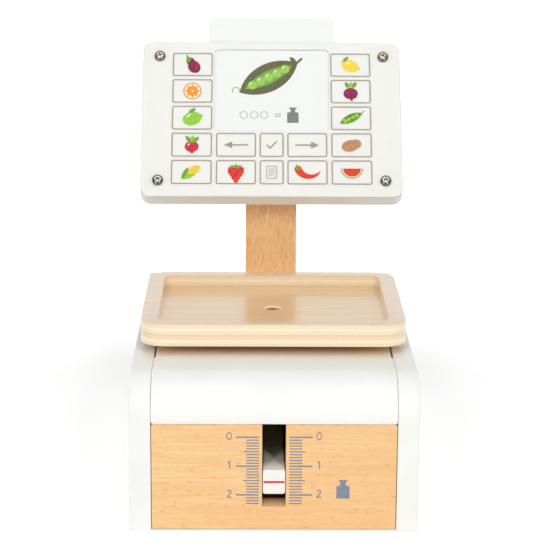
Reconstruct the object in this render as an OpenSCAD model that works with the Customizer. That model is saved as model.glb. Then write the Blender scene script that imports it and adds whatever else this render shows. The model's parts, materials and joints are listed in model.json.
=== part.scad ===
// Toy shop scale: a tray on a sprung stem, a pointer in a slot, and a tilted keypad board with a card.
// Millimetres, +Z up. The origin is the middle of the base, on the surface that the scale stands on.
// The front of the scale faces -Y. Depths in the sizes below are measured back from that front.

/* [Housing] */
// Width over both side panels
case_width = 170; // [150:1:200]
// Depth from the front to the rear edges of the side panels
case_depth = 265; // [255:1:300]
// Height of the side panels
case_height = 92.5; // [88:0.5:110]
// Thickness of each side panel
side_thickness = 12.6; // [10:0.1:15]
// Radius of the curve at the upper front
curve_radius = 25; // [18:0.5:32]
// Thickness of the curved front cover
cover_thickness = 12; // [8:0.5:15]
// Depth from the front to the joint between the cover and the top board
cover_depth = 49; // [40:0.5:60]
// Thickness of the top board
top_thickness = 12; // [8:0.5:15]
// Thickness of the back panel
back_thickness = 12; // [8:0.5:15]
// Thickness of the base board
base_thickness = 8; // [7:0.5:10]

/* [Front panel] */
// Thickness of the front panel
front_thickness = 15; // [12:0.5:20]
// Height of the front panel's upper edge above the floor
front_top = 66; // [62:0.5:70]
// Gap between the front panel's lower edge and the floor
front_bottom = 1.2; // [0:0.1:3]
// Width of the pointer's slot
slot_width = 14; // [10:0.5:20]
// Height of the slot's lower end above the floor
slot_floor = 15; // [12:0.5:16]

/* [Tray] */
// Width of the tray
tray_width = 162; // [120:1:190]
// Depth of the tray
tray_depth = 133.8; // [110:0.1:150]
// Thickness of the tray
tray_thickness = 14; // [13:0.5:18]
// Depth of the routed recess
tray_recess = 7.3; // [5:0.1:8]
// Width of the rim round the recess
tray_rim = 10.3; // [8:0.1:16]
// Corner radius of the tray, seen from above
tray_corner = 14.5; // [8:0.5:20]
// Corner radius of the recess, seen from above
recess_corner = 5.5; // [4:0.5:12]
// Rounding of the tray's upper and lower edges
tray_edge = 1.6; // [0.8:0.1:3]
// Depth of the screw's head below the floor of the recess
tray_sink = 1.5; // [0:0.1:1.6]
// Depth from the front of the housing to the tray's front edge
tray_setback = 52.7; // [45:0.1:60]
// Gap between the housing's top and the tray at rest
tray_lift = 5.8; // [5:0.1:12]

/* [Stem and pointer] */
// Diameter of the stem under the tray
stem_diameter = 16; // [12:0.5:24]
// Height of the pointer's red line above the floor at rest
pointer_level = 30.6; // [28:0.1:36]
// Height of the pointer arm's section
pointer_height = 14.9; // [10:0.1:16]
// Height of the guide block under the top board
guide_height = 14; // [8:0.5:18]
// Width and depth of the guide block
guide_size = 44; // [40:1:50]

/* [Spring] */
// Mean diameter of the coil spring
spring_diameter = 24; // [20:0.5:28]
// Diameter of the spring's wire
wire_diameter = 0.8; // [0.5:0.1:1.2]
// Number of turns
spring_turns = 6; // [4:1:8]
// Thickness of the plate that the spring pushes on
plate_thickness = 3; // [2:0.5:4]

/* [Post] */
// Width of the post
post_width = 35; // [28:1:48]
// Thickness of the post, front to back
post_thickness = 15; // [12:0.5:18]

/* [Display] */
// Width of the display
display_width = 177; // [160:1:200]
// Height of the display along its slope
display_height = 116.5; // [110:0.5:130]
// Tilt of the display from upright, in degrees
display_tilt = 35; // [25:0.5:45]
// Height above the floor of the middle of the display's back
display_level = 200.9; // [190:0.1:230]
// Corner radius of the display
display_corner = 7; // [4:0.5:12]
// Thickness of the display board
board_thickness = 12; // [8:0.5:14]
// Thickness of the printed front sheet
sheet_thickness = 1.5; // [1.4:0.1:3]
// Rounding of the front sheet's edge
sheet_edge = 1.2; // [0.4:0.1:1.2]
// Width of the clear window
window_width = 78.4; // [60:0.2:80]
// Height of the clear window
window_height = 62.6; // [50:0.2:66]
// Distance from the display's upper edge to the window
window_margin = 5.7; // [5:0.1:8]
// Corner radius of the window
window_corner = 3; // [1:0.5:6]

/* [Card] */
// Width of the picture card
card_width = 87; // [82:0.5:92]
// Height of the picture card
card_height = 90; // [84:0.5:100]
// Thickness of the picture card
card_thickness = 1; // [0.6:0.1:1.5]
// Corner radius of the picture card
card_corner = 4; // [1:0.5:8]

/* [Fasteners] */
// Diameter of the wood screws' shanks
screw_diameter = 3.6; // [3:0.1:4]
// Diameter of the wood screws' countersunk heads
screw_head = 8.4; // [6:0.1:9]
// Diameter of the display screws' shanks
pan_diameter = 3; // [2.5:0.1:3.5]
// Diameter of the display screws' pan heads
pan_head = 7.4; // [6:0.1:8]
// Height of the display screws' pan heads
pan_height = 2.4; // [1.5:0.1:3]
// Distance of the display screws from the side edges
pan_inset_side = 11.8; // [9:0.1:14]
// Distance of the display screws from the upper and lower edges
pan_inset_end = 11.6; // [9:0.1:14]
// Diameter of the dowels
dowel_diameter = 5; // [4:0.5:6]

/* [Hidden] */
$fn = 64;

// Smoothness of rounded plates
plate_facets = 32;
// Overrun of every cut past the face that it opens
overrun = 1;

// Gap between a board's end and the side panel, the close one beside the cover and the wide one
// beside the top board
side_gap = 0.3;
cover_side_gap = 0.1;
top_side_gap = 0.9;
// Gap between boards that meet edge to edge
seam_gap = 0.2;
// Distance of the front panel behind the side panels' front edges
front_setback = 0.5;
// Distance of the back panel inside the side panels' rear edges
back_inset = 1;
// Rounding of the corners of the front panel and cover, seen from the front
board_corner = 1.5;
// Gap round a moving stem, arm or card
stem_gap = 0.3;
pointer_gap = 0.4;
card_gap = 0.2;
// Gap round a fixed screw, dowel, post or pane in its hole
screw_gap = 0.1;
dowel_gap = 0.1;
post_gap = 0.3;
pane_gap = 0.1;

// Housing
inner_width = case_width - 2 * side_thickness;
board_width = inner_width - 2 * side_gap;
cover_width = inner_width - 2 * cover_side_gap;
top_width = inner_width - 2 * top_side_gap;
cover_bottom = front_top + seam_gap;
back_front = case_depth - back_inset - back_thickness;
top_under = case_height - top_thickness;
base_front = front_setback + front_thickness + seam_gap;
base_rear = back_front - seam_gap;

// Tray, stem and pointer
tray_bottom = case_height + tray_lift;
tray_floor = tray_bottom + tray_thickness - tray_recess;
stem_depth = tray_setback + tray_depth / 2;
arm_bottom = pointer_level - pointer_height / 2;
arm_top = arm_bottom + pointer_height;
arm_rear = stem_depth + stem_diameter / 2;
pointer_width = slot_width - 2 * pointer_gap;
arm_corner = 1.6;
plate_bottom = arm_bottom - plate_thickness;
plate_rim = 2;
plate_diameter = spring_diameter + wire_diameter + 2 * plate_rim;
guide_screw_space = (guide_size + stem_diameter) / 4;

// Spring, in a shallow pocket of the base board
pocket_share = 0.4;
spring_bottom = base_thickness * (1 - pocket_share);
spring_room = 1.2;
spring_pocket = spring_diameter + wire_diameter + 2 * spring_room;
spring_length = plate_bottom - stem_gap - spring_bottom;
rings_per_turn = 8;
wire_sides = 6;
spring_steps = spring_turns * rings_per_turn;

// Display, in its own axes: x across, y up the slope, z out of the face
post_front = back_front - post_thickness;
display_depth = post_front + post_thickness / 2;
pocket_depth = card_thickness + 2 * card_gap;
pocket_width = card_width + 2 * card_gap;
pocket_floor = board_thickness - pocket_depth;
window_top = display_height / 2 - window_margin;
window_bottom = window_top - window_height;
card_overlap = 2;
card_bottom = window_bottom - card_overlap;

// Screws
screw_head_share = 0.5;
screw_head_height = (screw_head - screw_diameter) * screw_head_share;
tray_screw_length = 30;
arm_screw_bite = 14;
arm_screw_length = plate_thickness + pointer_height + arm_screw_bite;
guide_screw_bite = 7;
guide_screw_length = guide_height + guide_screw_bite;
post_screw_bite = 10;
post_screw_length = back_thickness + post_screw_bite;
post_screw_shares = [0.3, 0.85];
post_screw_levels = [for (s = post_screw_shares) base_thickness + s * (top_under - base_thickness)];
board_screw_bite = 9;
board_screw_length = pocket_floor + board_screw_bite;
board_screw_space = post_width / 4;
board_screw_share = 0.45;
board_screw_drop = post_thickness * board_screw_share;
pan_bite_share = 0.6;
pan_length = sheet_thickness + board_thickness * pan_bite_share;
pan_dome_share = 0.8;
pan_dome = pan_head * pan_dome_share;
recess_width_share = 0.14;
recess_span_share = 0.55;

// Dowels between the boards and the side panels, as depth from the front and height
dowel_bite_share = 0.65;
dowel_in_side = side_thickness * dowel_bite_share;
dowel_in_board = 12;
dowel_length = dowel_in_side + dowel_in_board;
dowel_margin = 12;
dowel_shares = [0.15, 0.75];
curve_middle = curve_radius - cover_thickness / 2;
curve_angle = 45;
dowel_places = concat(
    [for (z = [front_bottom + dowel_margin, front_top - dowel_margin])
        [front_setback + front_thickness / 2, z]],
    [[curve_radius - curve_middle * cos(curve_angle),
        case_height - curve_radius + curve_middle * sin(curve_angle)]],
    [[cover_depth - dowel_margin, case_height - cover_thickness / 2]],
    [for (s = dowel_shares)
        [cover_depth + s * (back_front - cover_depth), case_height - top_thickness / 2]],
    [for (z = [2 * dowel_margin, case_height - 2 * dowel_margin])
        [back_front + back_thickness / 2, z]],
    [for (s = dowel_shares)
        [base_front + s * (base_rear - base_front), base_thickness / 2]]);

// Moves parts that are placed by their depth from the front into the frame of the whole scale
module from_front() {
    translate([0, -case_depth / 2, 0]) children();
}

// Moves parts of the display from its own axes to the top of the post
module on_display() {
    from_front() translate([0, display_depth, display_level]) rotate([90 - display_tilt, 0, 0]) children();
}

// Extrudes a side view, drawn as depth and height, across the scale
module along_x(length) {
    rotate([90, 0, 90]) linear_extrude(length, center = true) children();
}

// Extrudes a front view, drawn as width and height, from one depth to another
module along_y(front, rear) {
    translate([0, rear, 0]) rotate([90, 0, 0]) linear_extrude(rear - front) children();
}

module rounded_rect(width, height, radius) {
    square([width - 2 * radius, height], center = true);
    square([width, height - 2 * radius], center = true);
    for (x = [-1, 1], y = [-1, 1])
        translate([x * (width / 2 - radius), y * (height / 2 - radius)]) circle(radius);
}

// Box from one depth and height to another, centred across the scale
module board(width, front, rear, bottom, top) {
    translate([-width / 2, front, bottom]) cube([width, rear - front, top - bottom]);
}

// Side view of the housing, drawn in from its front and top by a wall
module case_profile(wall) {
    reach = wall > 0 ? overrun : 0;
    translate([wall, -reach]) square([case_depth - wall + reach, case_height - curve_radius + reach]);
    translate([curve_radius, -reach]) square([case_depth - curve_radius + reach, case_height - wall + reach]);
    translate([curve_radius, case_height - curve_radius]) circle(curve_radius - wall);
}

// Dowels, or the holes for them when there is a gap round them
module dowels(gap) {
    for (hand = [-1, 1], place = dowel_places)
        translate([hand * (inner_width + dowel_in_side - dowel_in_board) / 2, place[0], place[1]])
            rotate([0, 90, 0])
                cylinder(h = dowel_length + 2 * gap, d = dowel_diameter + 2 * gap, center = true);
}

// Cross recess in the top of a screw head of a given width, cut down from z = 0
module cross_recess(head) {
    for (turn = [0, 90])
        rotate(turn) translate([0, 0, -head * recess_width_share])
            cube([head * recess_span_share, head * recess_width_share, 2 * head * recess_width_share],
                center = true);
}

// Countersunk wood screw with its head's top at z = 0 and its shank pointing down
module wood_screw(length) {
    difference() {
        screw_space(length, 0);
        cross_recess(screw_head);
    }
}

// The space that a wood screw takes, with a gap all round
module screw_space(length, gap) {
    wide = screw_head + 2 * gap;
    narrow = screw_diameter + 2 * gap;
    translate([0, 0, -screw_head_height]) cylinder(h = screw_head_height, d1 = narrow, d2 = wide);
    translate([0, 0, -length - gap]) cylinder(h = length + gap, d = narrow);
    if (gap > 0) cylinder(h = overrun, d = wide);
}

// The countersink above a screw's head that lies deeper than the wood's face
module countersink(depth, gap) {
    wide = screw_head + 2 * gap;
    reach = depth + overrun;
    cylinder(h = reach, d1 = wide, d2 = wide + reach / screw_head_share);
}

// Places of the screws, each with its shank pointing down the local z axis
module at_tray_screw() {
    translate([0, stem_depth, tray_floor - tray_sink]) children();
}

module at_arm_screw() {
    translate([0, stem_depth, plate_bottom]) mirror([0, 0, 1]) children();
}

module at_guide_screws() {
    for (hand = [-1, 1])
        translate([hand * guide_screw_space, stem_depth, top_under - guide_height])
            mirror([0, 0, 1]) children();
}

module at_post_screws() {
    for (z = post_screw_levels)
        translate([0, back_front + back_thickness, z]) rotate([-90, 0, 0]) children();
}

module at_board_screws() {
    for (hand = [-1, 1])
        translate([hand * board_screw_space, -board_screw_drop, pocket_floor]) children();
}

module at_display_screws() {
    for (x = [-1, 1], y = [-1, 1])
        translate([x * (display_width / 2 - pan_inset_side), y * (display_height / 2 - pan_inset_end), 0])
            children();
}

module side_panel(hand) {
    color("white") from_front() difference() {
        translate([hand * (case_width - side_thickness) / 2, 0, 0]) along_x(side_thickness) case_profile(0);
        dowels(dowel_gap);
    }
}

module left_side_panel() {
    side_panel(-1);
}

module right_side_panel() {
    side_panel(1);
}

module front_panel() {
    color("burlywood") from_front() difference() {
        along_y(front_setback, front_setback + front_thickness)
            translate([0, (front_bottom + front_top) / 2])
                rounded_rect(board_width, front_top - front_bottom, board_corner);
        board(slot_width, front_setback - overrun, base_front + overrun, slot_floor, front_top + overrun);
        dowels(dowel_gap);
    }
}

module front_cover() {
    cover_height = case_height - cover_bottom + 2 * board_corner;
    color("white") from_front() difference() {
        intersection() {
            along_x(cover_width) difference() {
                case_profile(0);
                case_profile(cover_thickness);
            }
            along_y(-overrun, cover_depth)
                translate([0, cover_bottom + cover_height / 2])
                    rounded_rect(cover_width, cover_height, board_corner);
        }
        dowels(dowel_gap);
    }
}

module top_board() {
    color("tan") from_front() difference() {
        board(top_width, cover_depth + seam_gap, base_rear, top_under, case_height);
        translate([0, stem_depth, top_under - overrun])
            cylinder(h = top_thickness + 2 * overrun, d = stem_diameter + 2 * stem_gap);
        board(post_width + 2 * post_gap, post_front - post_gap, back_front + overrun,
            top_under - overrun, case_height + overrun);
        dowels(dowel_gap);
        at_guide_screws() screw_space(guide_screw_length, screw_gap);
    }
}

module back_panel() {
    color("white") from_front() difference() {
        board(board_width, back_front, back_front + back_thickness, front_bottom, case_height);
        dowels(dowel_gap);
        at_post_screws() screw_space(post_screw_length, screw_gap);
    }
}

module base_board() {
    color("tan") from_front() difference() {
        board(board_width, base_front, base_rear, 0, base_thickness);
        translate([0, stem_depth, spring_bottom]) cylinder(h = base_thickness, d = spring_pocket);
        dowels(dowel_gap);
    }
}

module case_dowels() {
    color("wheat") from_front() dowels(0);
}

module stem_guide() {
    color("tan") from_front() difference() {
        translate([-guide_size / 2, stem_depth - guide_size / 2, top_under - guide_height])
            cube([guide_size, guide_size, guide_height]);
        translate([0, stem_depth, top_under - guide_height - overrun])
            cylinder(h = guide_height + 2 * overrun, d = stem_diameter + 2 * stem_gap);
        at_guide_screws() screw_space(guide_screw_length, screw_gap);
    }
}

module guide_screws() {
    color("silver") from_front() at_guide_screws() wood_screw(guide_screw_length);
}

// Post with its top cut to the slope of the display
module display_post() {
    rise = post_thickness / 2 / tan(display_tilt);
    color("peru") from_front() difference() {
        along_x(post_width)
            polygon([[post_front, base_thickness],
                [back_front, base_thickness],
                [back_front, display_level + rise],
                [post_front, display_level - rise]]);
        at_post_screws() screw_space(post_screw_length, screw_gap);
        translate([0, display_depth, display_level]) rotate([90 - display_tilt, 0, 0])
            at_board_screws() screw_space(board_screw_length, screw_gap);
    }
}

module post_screws() {
    color("silver") from_front() at_post_screws() wood_screw(post_screw_length);
}

module display_board() {
    color("white") on_display() difference() {
        linear_extrude(board_thickness) rounded_rect(display_width, display_height, display_corner);
        translate([-pocket_width / 2, card_bottom - card_gap, pocket_floor])
            cube([pocket_width, display_height, pocket_depth + overrun]);
        at_board_screws() screw_space(board_screw_length, screw_gap);
        translate([0, 0, board_thickness + sheet_thickness - pan_length - screw_gap])
            at_display_screws() cylinder(h = pan_length + overrun, d = pan_diameter + 2 * screw_gap);
    }
}

module board_screws() {
    color("silver") on_display() at_board_screws() wood_screw(board_screw_length);
}

module window_outline(gap) {
    translate([0, (window_top + window_bottom) / 2])
        rounded_rect(window_width - 2 * gap, window_height - 2 * gap, window_corner - gap);
}

// Plate with a rounded front edge
module sheet_blank() {
    hull() for (x = [-1, 1], y = [-1, 1])
        translate([x * (display_width / 2 - display_corner), y * (display_height / 2 - display_corner), 0]) {
            cylinder(h = sheet_thickness - sheet_edge, r = display_corner, $fn = plate_facets);
            rotate_extrude($fn = plate_facets)
                translate([display_corner - sheet_edge, sheet_thickness - sheet_edge]) intersection() {
                    circle(sheet_edge, $fn = plate_facets);
                    square(sheet_edge);
                }
        }
}

module front_sheet() {
    color("ivory") on_display() translate([0, 0, board_thickness]) difference() {
        sheet_blank();
        translate([0, 0, -overrun]) linear_extrude(sheet_thickness + 2 * overrun) window_outline(0);
        translate([0, 0, -overrun]) at_display_screws()
            cylinder(h = sheet_thickness + 2 * overrun, d = pan_diameter + 2 * screw_gap);
    }
}

module window_pane() {
    color("lightcyan", 0.4) on_display() translate([0, 0, board_thickness])
        linear_extrude(sheet_thickness) window_outline(pane_gap);
}

// Pan-head cross screws at the corners of the display
module display_screws() {
    color("dimgray") on_display() translate([0, 0, board_thickness + sheet_thickness])
        at_display_screws() {
            difference() {
                intersection() {
                    cylinder(h = pan_height, d = pan_head);
                    translate([0, 0, pan_height - pan_dome]) sphere(pan_dome);
                }
                translate([0, 0, pan_height]) cross_recess(pan_head);
            }
            translate([0, 0, -pan_length]) cylinder(h = pan_length, d = pan_diameter);
        }
}

// Points along the middle of the spring's wire
function spring_point(step) = let (turn = 360 * step / rings_per_turn, share = step / spring_steps)
    [spring_diameter / 2 * cos(turn), spring_diameter / 2 * sin(turn),
        wire_diameter / 2 + share * (spring_length - wire_diameter)];

// Points of one ring round the wire
function wire_ring(step) = let (middle = spring_point(step), turn = 360 * step / rings_per_turn)
    [for (side = [0 : wire_sides - 1]) let (angle = 360 * side / wire_sides)
        middle + wire_diameter / 2 * [cos(turn) * cos(angle), sin(turn) * cos(angle), sin(angle)]];

module coil_spring() {
    points = [for (step = [0 : spring_steps]) each wire_ring(step)];
    last = spring_steps * wire_sides;
    walls = [for (step = [0 : spring_steps - 1], side = [0 : wire_sides - 1])
        let (next = (side + 1) % wire_sides, here = step * wire_sides, there = here + wire_sides)
            each [[here + side, here + next, there + next], [here + side, there + next, there + side]]];
    caps = [for (side = [1 : wire_sides - 2])
        each [[0, side + 1, side], [last, last + side, last + side + 1]]];
    least_gap = min([for (a = [0 : spring_steps - rings_per_turn], b = [a + rings_per_turn : spring_steps])
        norm(spring_point(a) - spring_point(b))]) - wire_diameter;
    echo(str("least gap between the spring's turns: ", least_gap));
    color("lightsteelblue") from_front() translate([0, stem_depth, spring_bottom])
        polyhedron(points, concat(walls, caps));
}

// Plate with rounded upper and lower edges
module tray_blank() {
    hull() for (x = [-1, 1], y = [-1, 1], z = [tray_edge, tray_thickness - tray_edge])
        translate([x * (tray_width / 2 - tray_corner), y * (tray_depth / 2 - tray_corner), z])
            rotate_extrude($fn = plate_facets)
                translate([tray_corner - tray_edge, 0]) circle(tray_edge, $fn = plate_facets / 2);
}

module weighing_tray() {
    color("blanchedalmond") from_front() difference() {
        translate([0, stem_depth, tray_bottom]) tray_blank();
        translate([0, stem_depth, tray_floor]) linear_extrude(tray_recess + overrun)
            rounded_rect(tray_width - 2 * tray_rim, tray_depth - 2 * tray_rim, recess_corner);
        at_tray_screw() screw_space(tray_screw_length, screw_gap);
        at_tray_screw() countersink(tray_sink, screw_gap);
    }
}

module tray_screw() {
    color("silver") from_front() at_tray_screw() wood_screw(tray_screw_length);
}

module tray_stem() {
    color("burlywood") from_front() difference() {
        translate([0, stem_depth, arm_top]) cylinder(h = tray_bottom - arm_top, d = stem_diameter);
        at_tray_screw() screw_space(tray_screw_length, screw_gap);
        at_arm_screw() screw_space(arm_screw_length, screw_gap);
    }
}

// Arm from the stem to the slot, whose front end is the pointer
module pointer_arm() {
    color("white") from_front() difference() {
        along_y(0, arm_rear) translate([0, pointer_level])
            rounded_rect(pointer_width, pointer_height, arm_corner);
        at_arm_screw() screw_space(arm_screw_length, screw_gap);
    }
}

module spring_plate() {
    color("tan") from_front() difference() {
        translate([0, stem_depth, plate_bottom]) cylinder(h = plate_thickness, d = plate_diameter);
        at_arm_screw() screw_space(arm_screw_length, screw_gap);
    }
}

module arm_screw() {
    color("silver") from_front() at_arm_screw() wood_screw(arm_screw_length);
}

module picture_card() {
    color("aliceblue") on_display() translate([0, card_bottom + card_height / 2, pocket_floor + card_gap])
        linear_extrude(card_thickness) rounded_rect(card_width, card_height, card_corner);
}

left_side_panel();
right_side_panel();
front_panel();
front_cover();
top_board();
back_panel();
base_board();
case_dowels();
stem_guide();
guide_screws();
display_post();
post_screws();
display_board();
board_screws();
front_sheet();
window_pane();
display_screws();
coil_spring();
weighing_tray();
tray_screw();
tray_stem();
pointer_arm();
spring_plate();
arm_screw();
picture_card();
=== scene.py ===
"""Looks of a wooden toy shop scale, laid out as an add-on and run as a script.

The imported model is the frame: every piece takes its place from it, in metres. +Z is up, and the
front of the scale faces -Y.
"""
import json
import math

import bmesh
import bpy
from bpy.props import FloatProperty, FloatVectorProperty, PointerProperty
from bpy.types import Operator, Panel, PropertyGroup
from mathutils import Matrix, Vector

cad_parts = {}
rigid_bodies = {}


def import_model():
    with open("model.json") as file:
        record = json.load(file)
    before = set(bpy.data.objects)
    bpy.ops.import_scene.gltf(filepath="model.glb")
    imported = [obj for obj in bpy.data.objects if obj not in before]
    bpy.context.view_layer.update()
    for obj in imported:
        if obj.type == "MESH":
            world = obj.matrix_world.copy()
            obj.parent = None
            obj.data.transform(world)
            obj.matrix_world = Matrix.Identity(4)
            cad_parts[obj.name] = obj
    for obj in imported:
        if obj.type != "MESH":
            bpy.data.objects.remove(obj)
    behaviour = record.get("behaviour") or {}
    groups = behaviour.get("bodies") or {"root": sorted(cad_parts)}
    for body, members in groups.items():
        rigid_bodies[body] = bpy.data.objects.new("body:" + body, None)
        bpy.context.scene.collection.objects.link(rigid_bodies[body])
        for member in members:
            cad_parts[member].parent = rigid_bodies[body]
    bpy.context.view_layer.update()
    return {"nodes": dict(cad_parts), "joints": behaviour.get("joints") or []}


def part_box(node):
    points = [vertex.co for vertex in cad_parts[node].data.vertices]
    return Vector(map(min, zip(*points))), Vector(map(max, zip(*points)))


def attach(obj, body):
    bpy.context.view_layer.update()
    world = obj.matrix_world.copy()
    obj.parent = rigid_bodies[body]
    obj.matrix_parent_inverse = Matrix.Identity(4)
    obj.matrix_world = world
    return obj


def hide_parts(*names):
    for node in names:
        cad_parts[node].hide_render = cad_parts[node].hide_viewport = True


bl_info = {
    "name": "Toy Shop Scale",
    "version": (1, 0, 0),
    "blender": (4, 5, 0),
    "location": "3D View > Sidebar > Toy Scale",
    "description": "Builds the finished pieces of a wooden toy shop scale round its packed frame",
    "category": "Add Mesh",
}

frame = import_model()

MM = 0.001
X, Y, Z = 0, 1, 2

# Edges that meet at more than this angle are sharp, and points nearer than this are the same
SHARP_ANGLE = math.radians(40)
TOUCH = 0.01 * MM

# Shares of a normal along an axis from which a face looks that way, and from which it leans that way
FACING = 0.9
LEANING = 0.1

# Smoothness of round stretches
CURVE_STEPS = 24
CORNER_STEPS = 8
EDGE_STEPS = 3
LATHE_STEPS = 40
DISC_STEPS = 28
STROKE_STEPS = 16

# Height of the first layer of ink, and how far each next one rises above the last
INK_BASE = 0.03 * MM
INK_STEP = 0.003 * MM

# Points of a leaf that are nearer than this are the same, in millimetres of its drawing
LEAF_TOUCH = 0.01

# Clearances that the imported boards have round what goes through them
STEM_GAP = 0.3 * MM
POST_GAP = 0.3 * MM
CARD_GAP = 0.2 * MM
SCREW_GAP = 0.1 * MM
PANE_GAP = 0.02 * MM


def length(name, text, millimetres):
    """A size that a user can change."""
    return FloatProperty(name=name, description=text, default=millimetres * MM, min=0.0, unit="LENGTH")


def colour(name, text, red, green, blue):
    """A colour that a user can change, given as the 0 to 255 values that a screen shows."""
    linear = [(share / 12.92 if share <= 0.04045 else ((share + 0.055) / 1.055) ** 2.4)
              for share in (red / 255, green / 255, blue / 255)]
    return FloatVectorProperty(name=name, description=text, default=linear, min=0.0, max=1.0,
                               subtype="COLOR")


class ToyScaleSizes(PropertyGroup):
    """Sizes of the finished pieces."""

    paint_edge: length("Painted edge", "Rounding of the painted boards' edges", 0.8)
    beech_edge: length("Beech edge", "Rounding of the front panel's edges", 0.5)
    post_edge: length("Post edge", "Rounding of the post's edges", 0.8)
    board_corner: length("Board corner", "Corner radius of the front panel and the cover", 1.5)
    cover_thickness: length("Cover thickness", "Thickness of the curved front cover", 12)
    tray_corner: length("Tray corner", "Corner radius of the tray, seen from above", 14.5)
    tray_edge: length("Tray edge", "Rounding of the tray's upper and lower edges", 1.6)
    tray_rim: length("Tray rim", "Width of the rim round the tray's recess", 10.3)
    tray_recess: length("Tray recess", "Depth of the tray's recess", 7.3)
    recess_corner: length("Recess corner", "Corner radius of the recess, seen from above", 5.5)
    recess_edge: length("Recess edge", "Rounding of the recess's upper edge", 0.5)
    recess_fillet: length("Recess fillet", "Rounding between the recess's walls and floor", 0.8)
    pointer_edge: length("Pointer edge", "Rounding of the pointer's edges", 1.5)
    pointer_line: length("Pointer line", "Height of the red line on the pointer", 1.25)
    display_corner: length("Display corner", "Corner radius of the display", 7)
    sheet_edge: length("Sheet edge", "Rounding of the front sheet's edge", 1.2)
    board_edge: length("Board edge", "Rounding of the display board's rear edge", 1.2)
    window_corner: length("Window corner", "Corner radius of the window", 3)
    window_edge: length("Window edge", "Rounding of the front sheet's edge round the window", 0.6)
    card_corner: length("Card corner", "Corner radius of the picture card", 4)
    pan_head: length("Pan head", "Diameter of the display screws' heads", 7.4)
    flat_head: length("Flat head", "Diameter of the countersunk screws' heads", 8.4)
    tray_head: length("Tray screw", "Diameter of the head of the tray's screw", 9.5)
    tray_head_sunk: length("Tray screw depth", "Depth of that head below the recess's floor", 0.85)
    shank: length("Shank", "Diameter of the screws' shanks", 3)


class ToyScaleColours(PropertyGroup):
    """Colours of the finishes and of the inks."""

    paint: colour("Paint", "White paint", 247, 248, 244)
    paint_shade: colour("Paint shade", "Fainter tone in the paint", 241, 242, 237)
    beech: colour("Beech", "Light tone of the front panel", 253, 216, 164)
    # The front panel also darkens towards this tone on its right, partly as painted shade.
    beech_band: colour("Beech band", "Darker streaks of the front panel", 241, 190, 128)
    beech_fleck: colour("Beech fleck", "Flecks in the front panel", 228, 148, 84)
    beech_cut: colour("Cut beech", "Faces of the slot in the front panel", 255, 228, 190)
    post: colour("Post", "Light tone of the post", 254, 210, 153)
    post_band: colour("Post band", "Darker streaks of the post", 238, 175, 117)
    post_fleck: colour("Post fleck", "Short dark lines in the post", 196, 126, 72)
    veneer: colour("Veneer", "Face of the tray's plywood", 234, 206, 175)
    veneer_line: colour("Veneer line", "Grain lines in the face of the tray", 224, 190, 154)
    routed: colour("Routed ply", "Ply that the recess lays open", 236, 198, 150)
    routed_line: colour("Routed line", "Grain lines in the floor of the recess", 222, 178, 126)
    ply_cream: colour("Ply cream", "Plies that run along the edge", 249, 237, 209)
    ply_tan: colour("Ply tan", "Plies that are cut across", 236, 203, 158)
    ply_pale: colour("Ply pale", "Plies between the cream and the tan ones", 244, 224, 190)
    sheet: colour("Sheet", "Printed front sheet of the display", 236, 236, 230)
    card: colour("Card", "Picture card", 240, 243, 241)
    steel: colour("Steel", "Plated steel of the screws", 132, 126, 115)
    # The tray screw's steel is painted lighter than the plated steel: painted light that stands in for
    # the light falling on it.
    worn_steel: colour("Worn steel", "Dull steel of the tray's screw", 185, 176, 163)
    spring: colour("Spring", "Spring wire", 170, 172, 175)
    plywood: colour("Plywood", "Bare plywood of the base", 214, 184, 142)
    pale_plywood: colour("Pale plywood", "Sanded plywood of the top board", 250, 236, 216)
    hardwood: colour("Hardwood", "Bare turned hardwood", 222, 188, 142)
    key_line: colour("Key line", "Outlines and signs of the keys", 168, 155, 140)
    mark: colour("Mark", "Marks beside the pointer's slot", 128, 140, 156)
    red: colour("Red", "Line on the pointer", 226, 44, 52)
    grey: colour("Grey", "Dark grey signs on the card", 120, 120, 116)
    olive: colour("Olive", "Dark green of the pictures", 86, 86, 24)
    leaf: colour("Leaf", "Leaf green of the pictures", 112, 168, 46)
    lime: colour("Lime", "Light green of the pictures", 150, 206, 66)
    yellow: colour("Yellow", "Yellow of the pictures", 246, 218, 66)
    gold: colour("Gold", "Deep yellow of the pictures", 232, 184, 44)
    orange: colour("Orange", "Orange of the pictures", 245, 152, 48)
    tomato: colour("Tomato", "Red of the pictures", 230, 64, 30)
    rose: colour("Rose", "Pink red of the pictures", 208, 44, 62)
    plum: colour("Plum", "Purple of the pictures", 142, 36, 84)
    brown: colour("Brown", "Brown of the pictures", 196, 142, 100)
    bark: colour("Bark", "Dark brown of the pictures", 122, 82, 52)
    cream: colour("Cream", "Cream of the pictures", 250, 244, 222)


# Places and axes of the frame

def span(node, axes):
    """Lowest and highest corner of a node, measured along the given axes."""
    inward = axes.inverted()
    points = [inward @ vertex.co for vertex in frame["nodes"][node].data.vertices]
    return Vector(map(min, *points)), Vector(map(max, *points))


def slope_axes():
    """Axes with x across the display, y up its slope, where the card slides, and z out of its face."""
    slide = next(joint for joint in frame["joints"] if joint["name"] == "card_slide")
    across = Vector((1, 0, 0))
    upward = Vector(slide["axis"]).normalized()
    return Matrix((across, upward, across.cross(upward))).transposed().to_4x4()


def display_axes():
    """The display's axes, from the middle of the front sheet's face."""
    low, high = span("front_sheet", slope_axes())
    return slope_axes() @ Matrix.Translation(((low.x + high.x) / 2, (low.y + high.y) / 2, high.z))


def upright_axes(node):
    """Axes on the front of a node: x across, y up from the floor and z out of the face."""
    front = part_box(node)[0].y
    return Matrix.Translation((0, front, 0)) @ Matrix.Rotation(math.radians(90), 4, "X")


# Modelling

def only(kind, geom):
    """The members of a result that are of one kind."""
    return [item for item in geom if isinstance(item, kind)]


def newer(items, old):
    """The items that are not in an older set."""
    return [item for item in items if item not in old]


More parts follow.
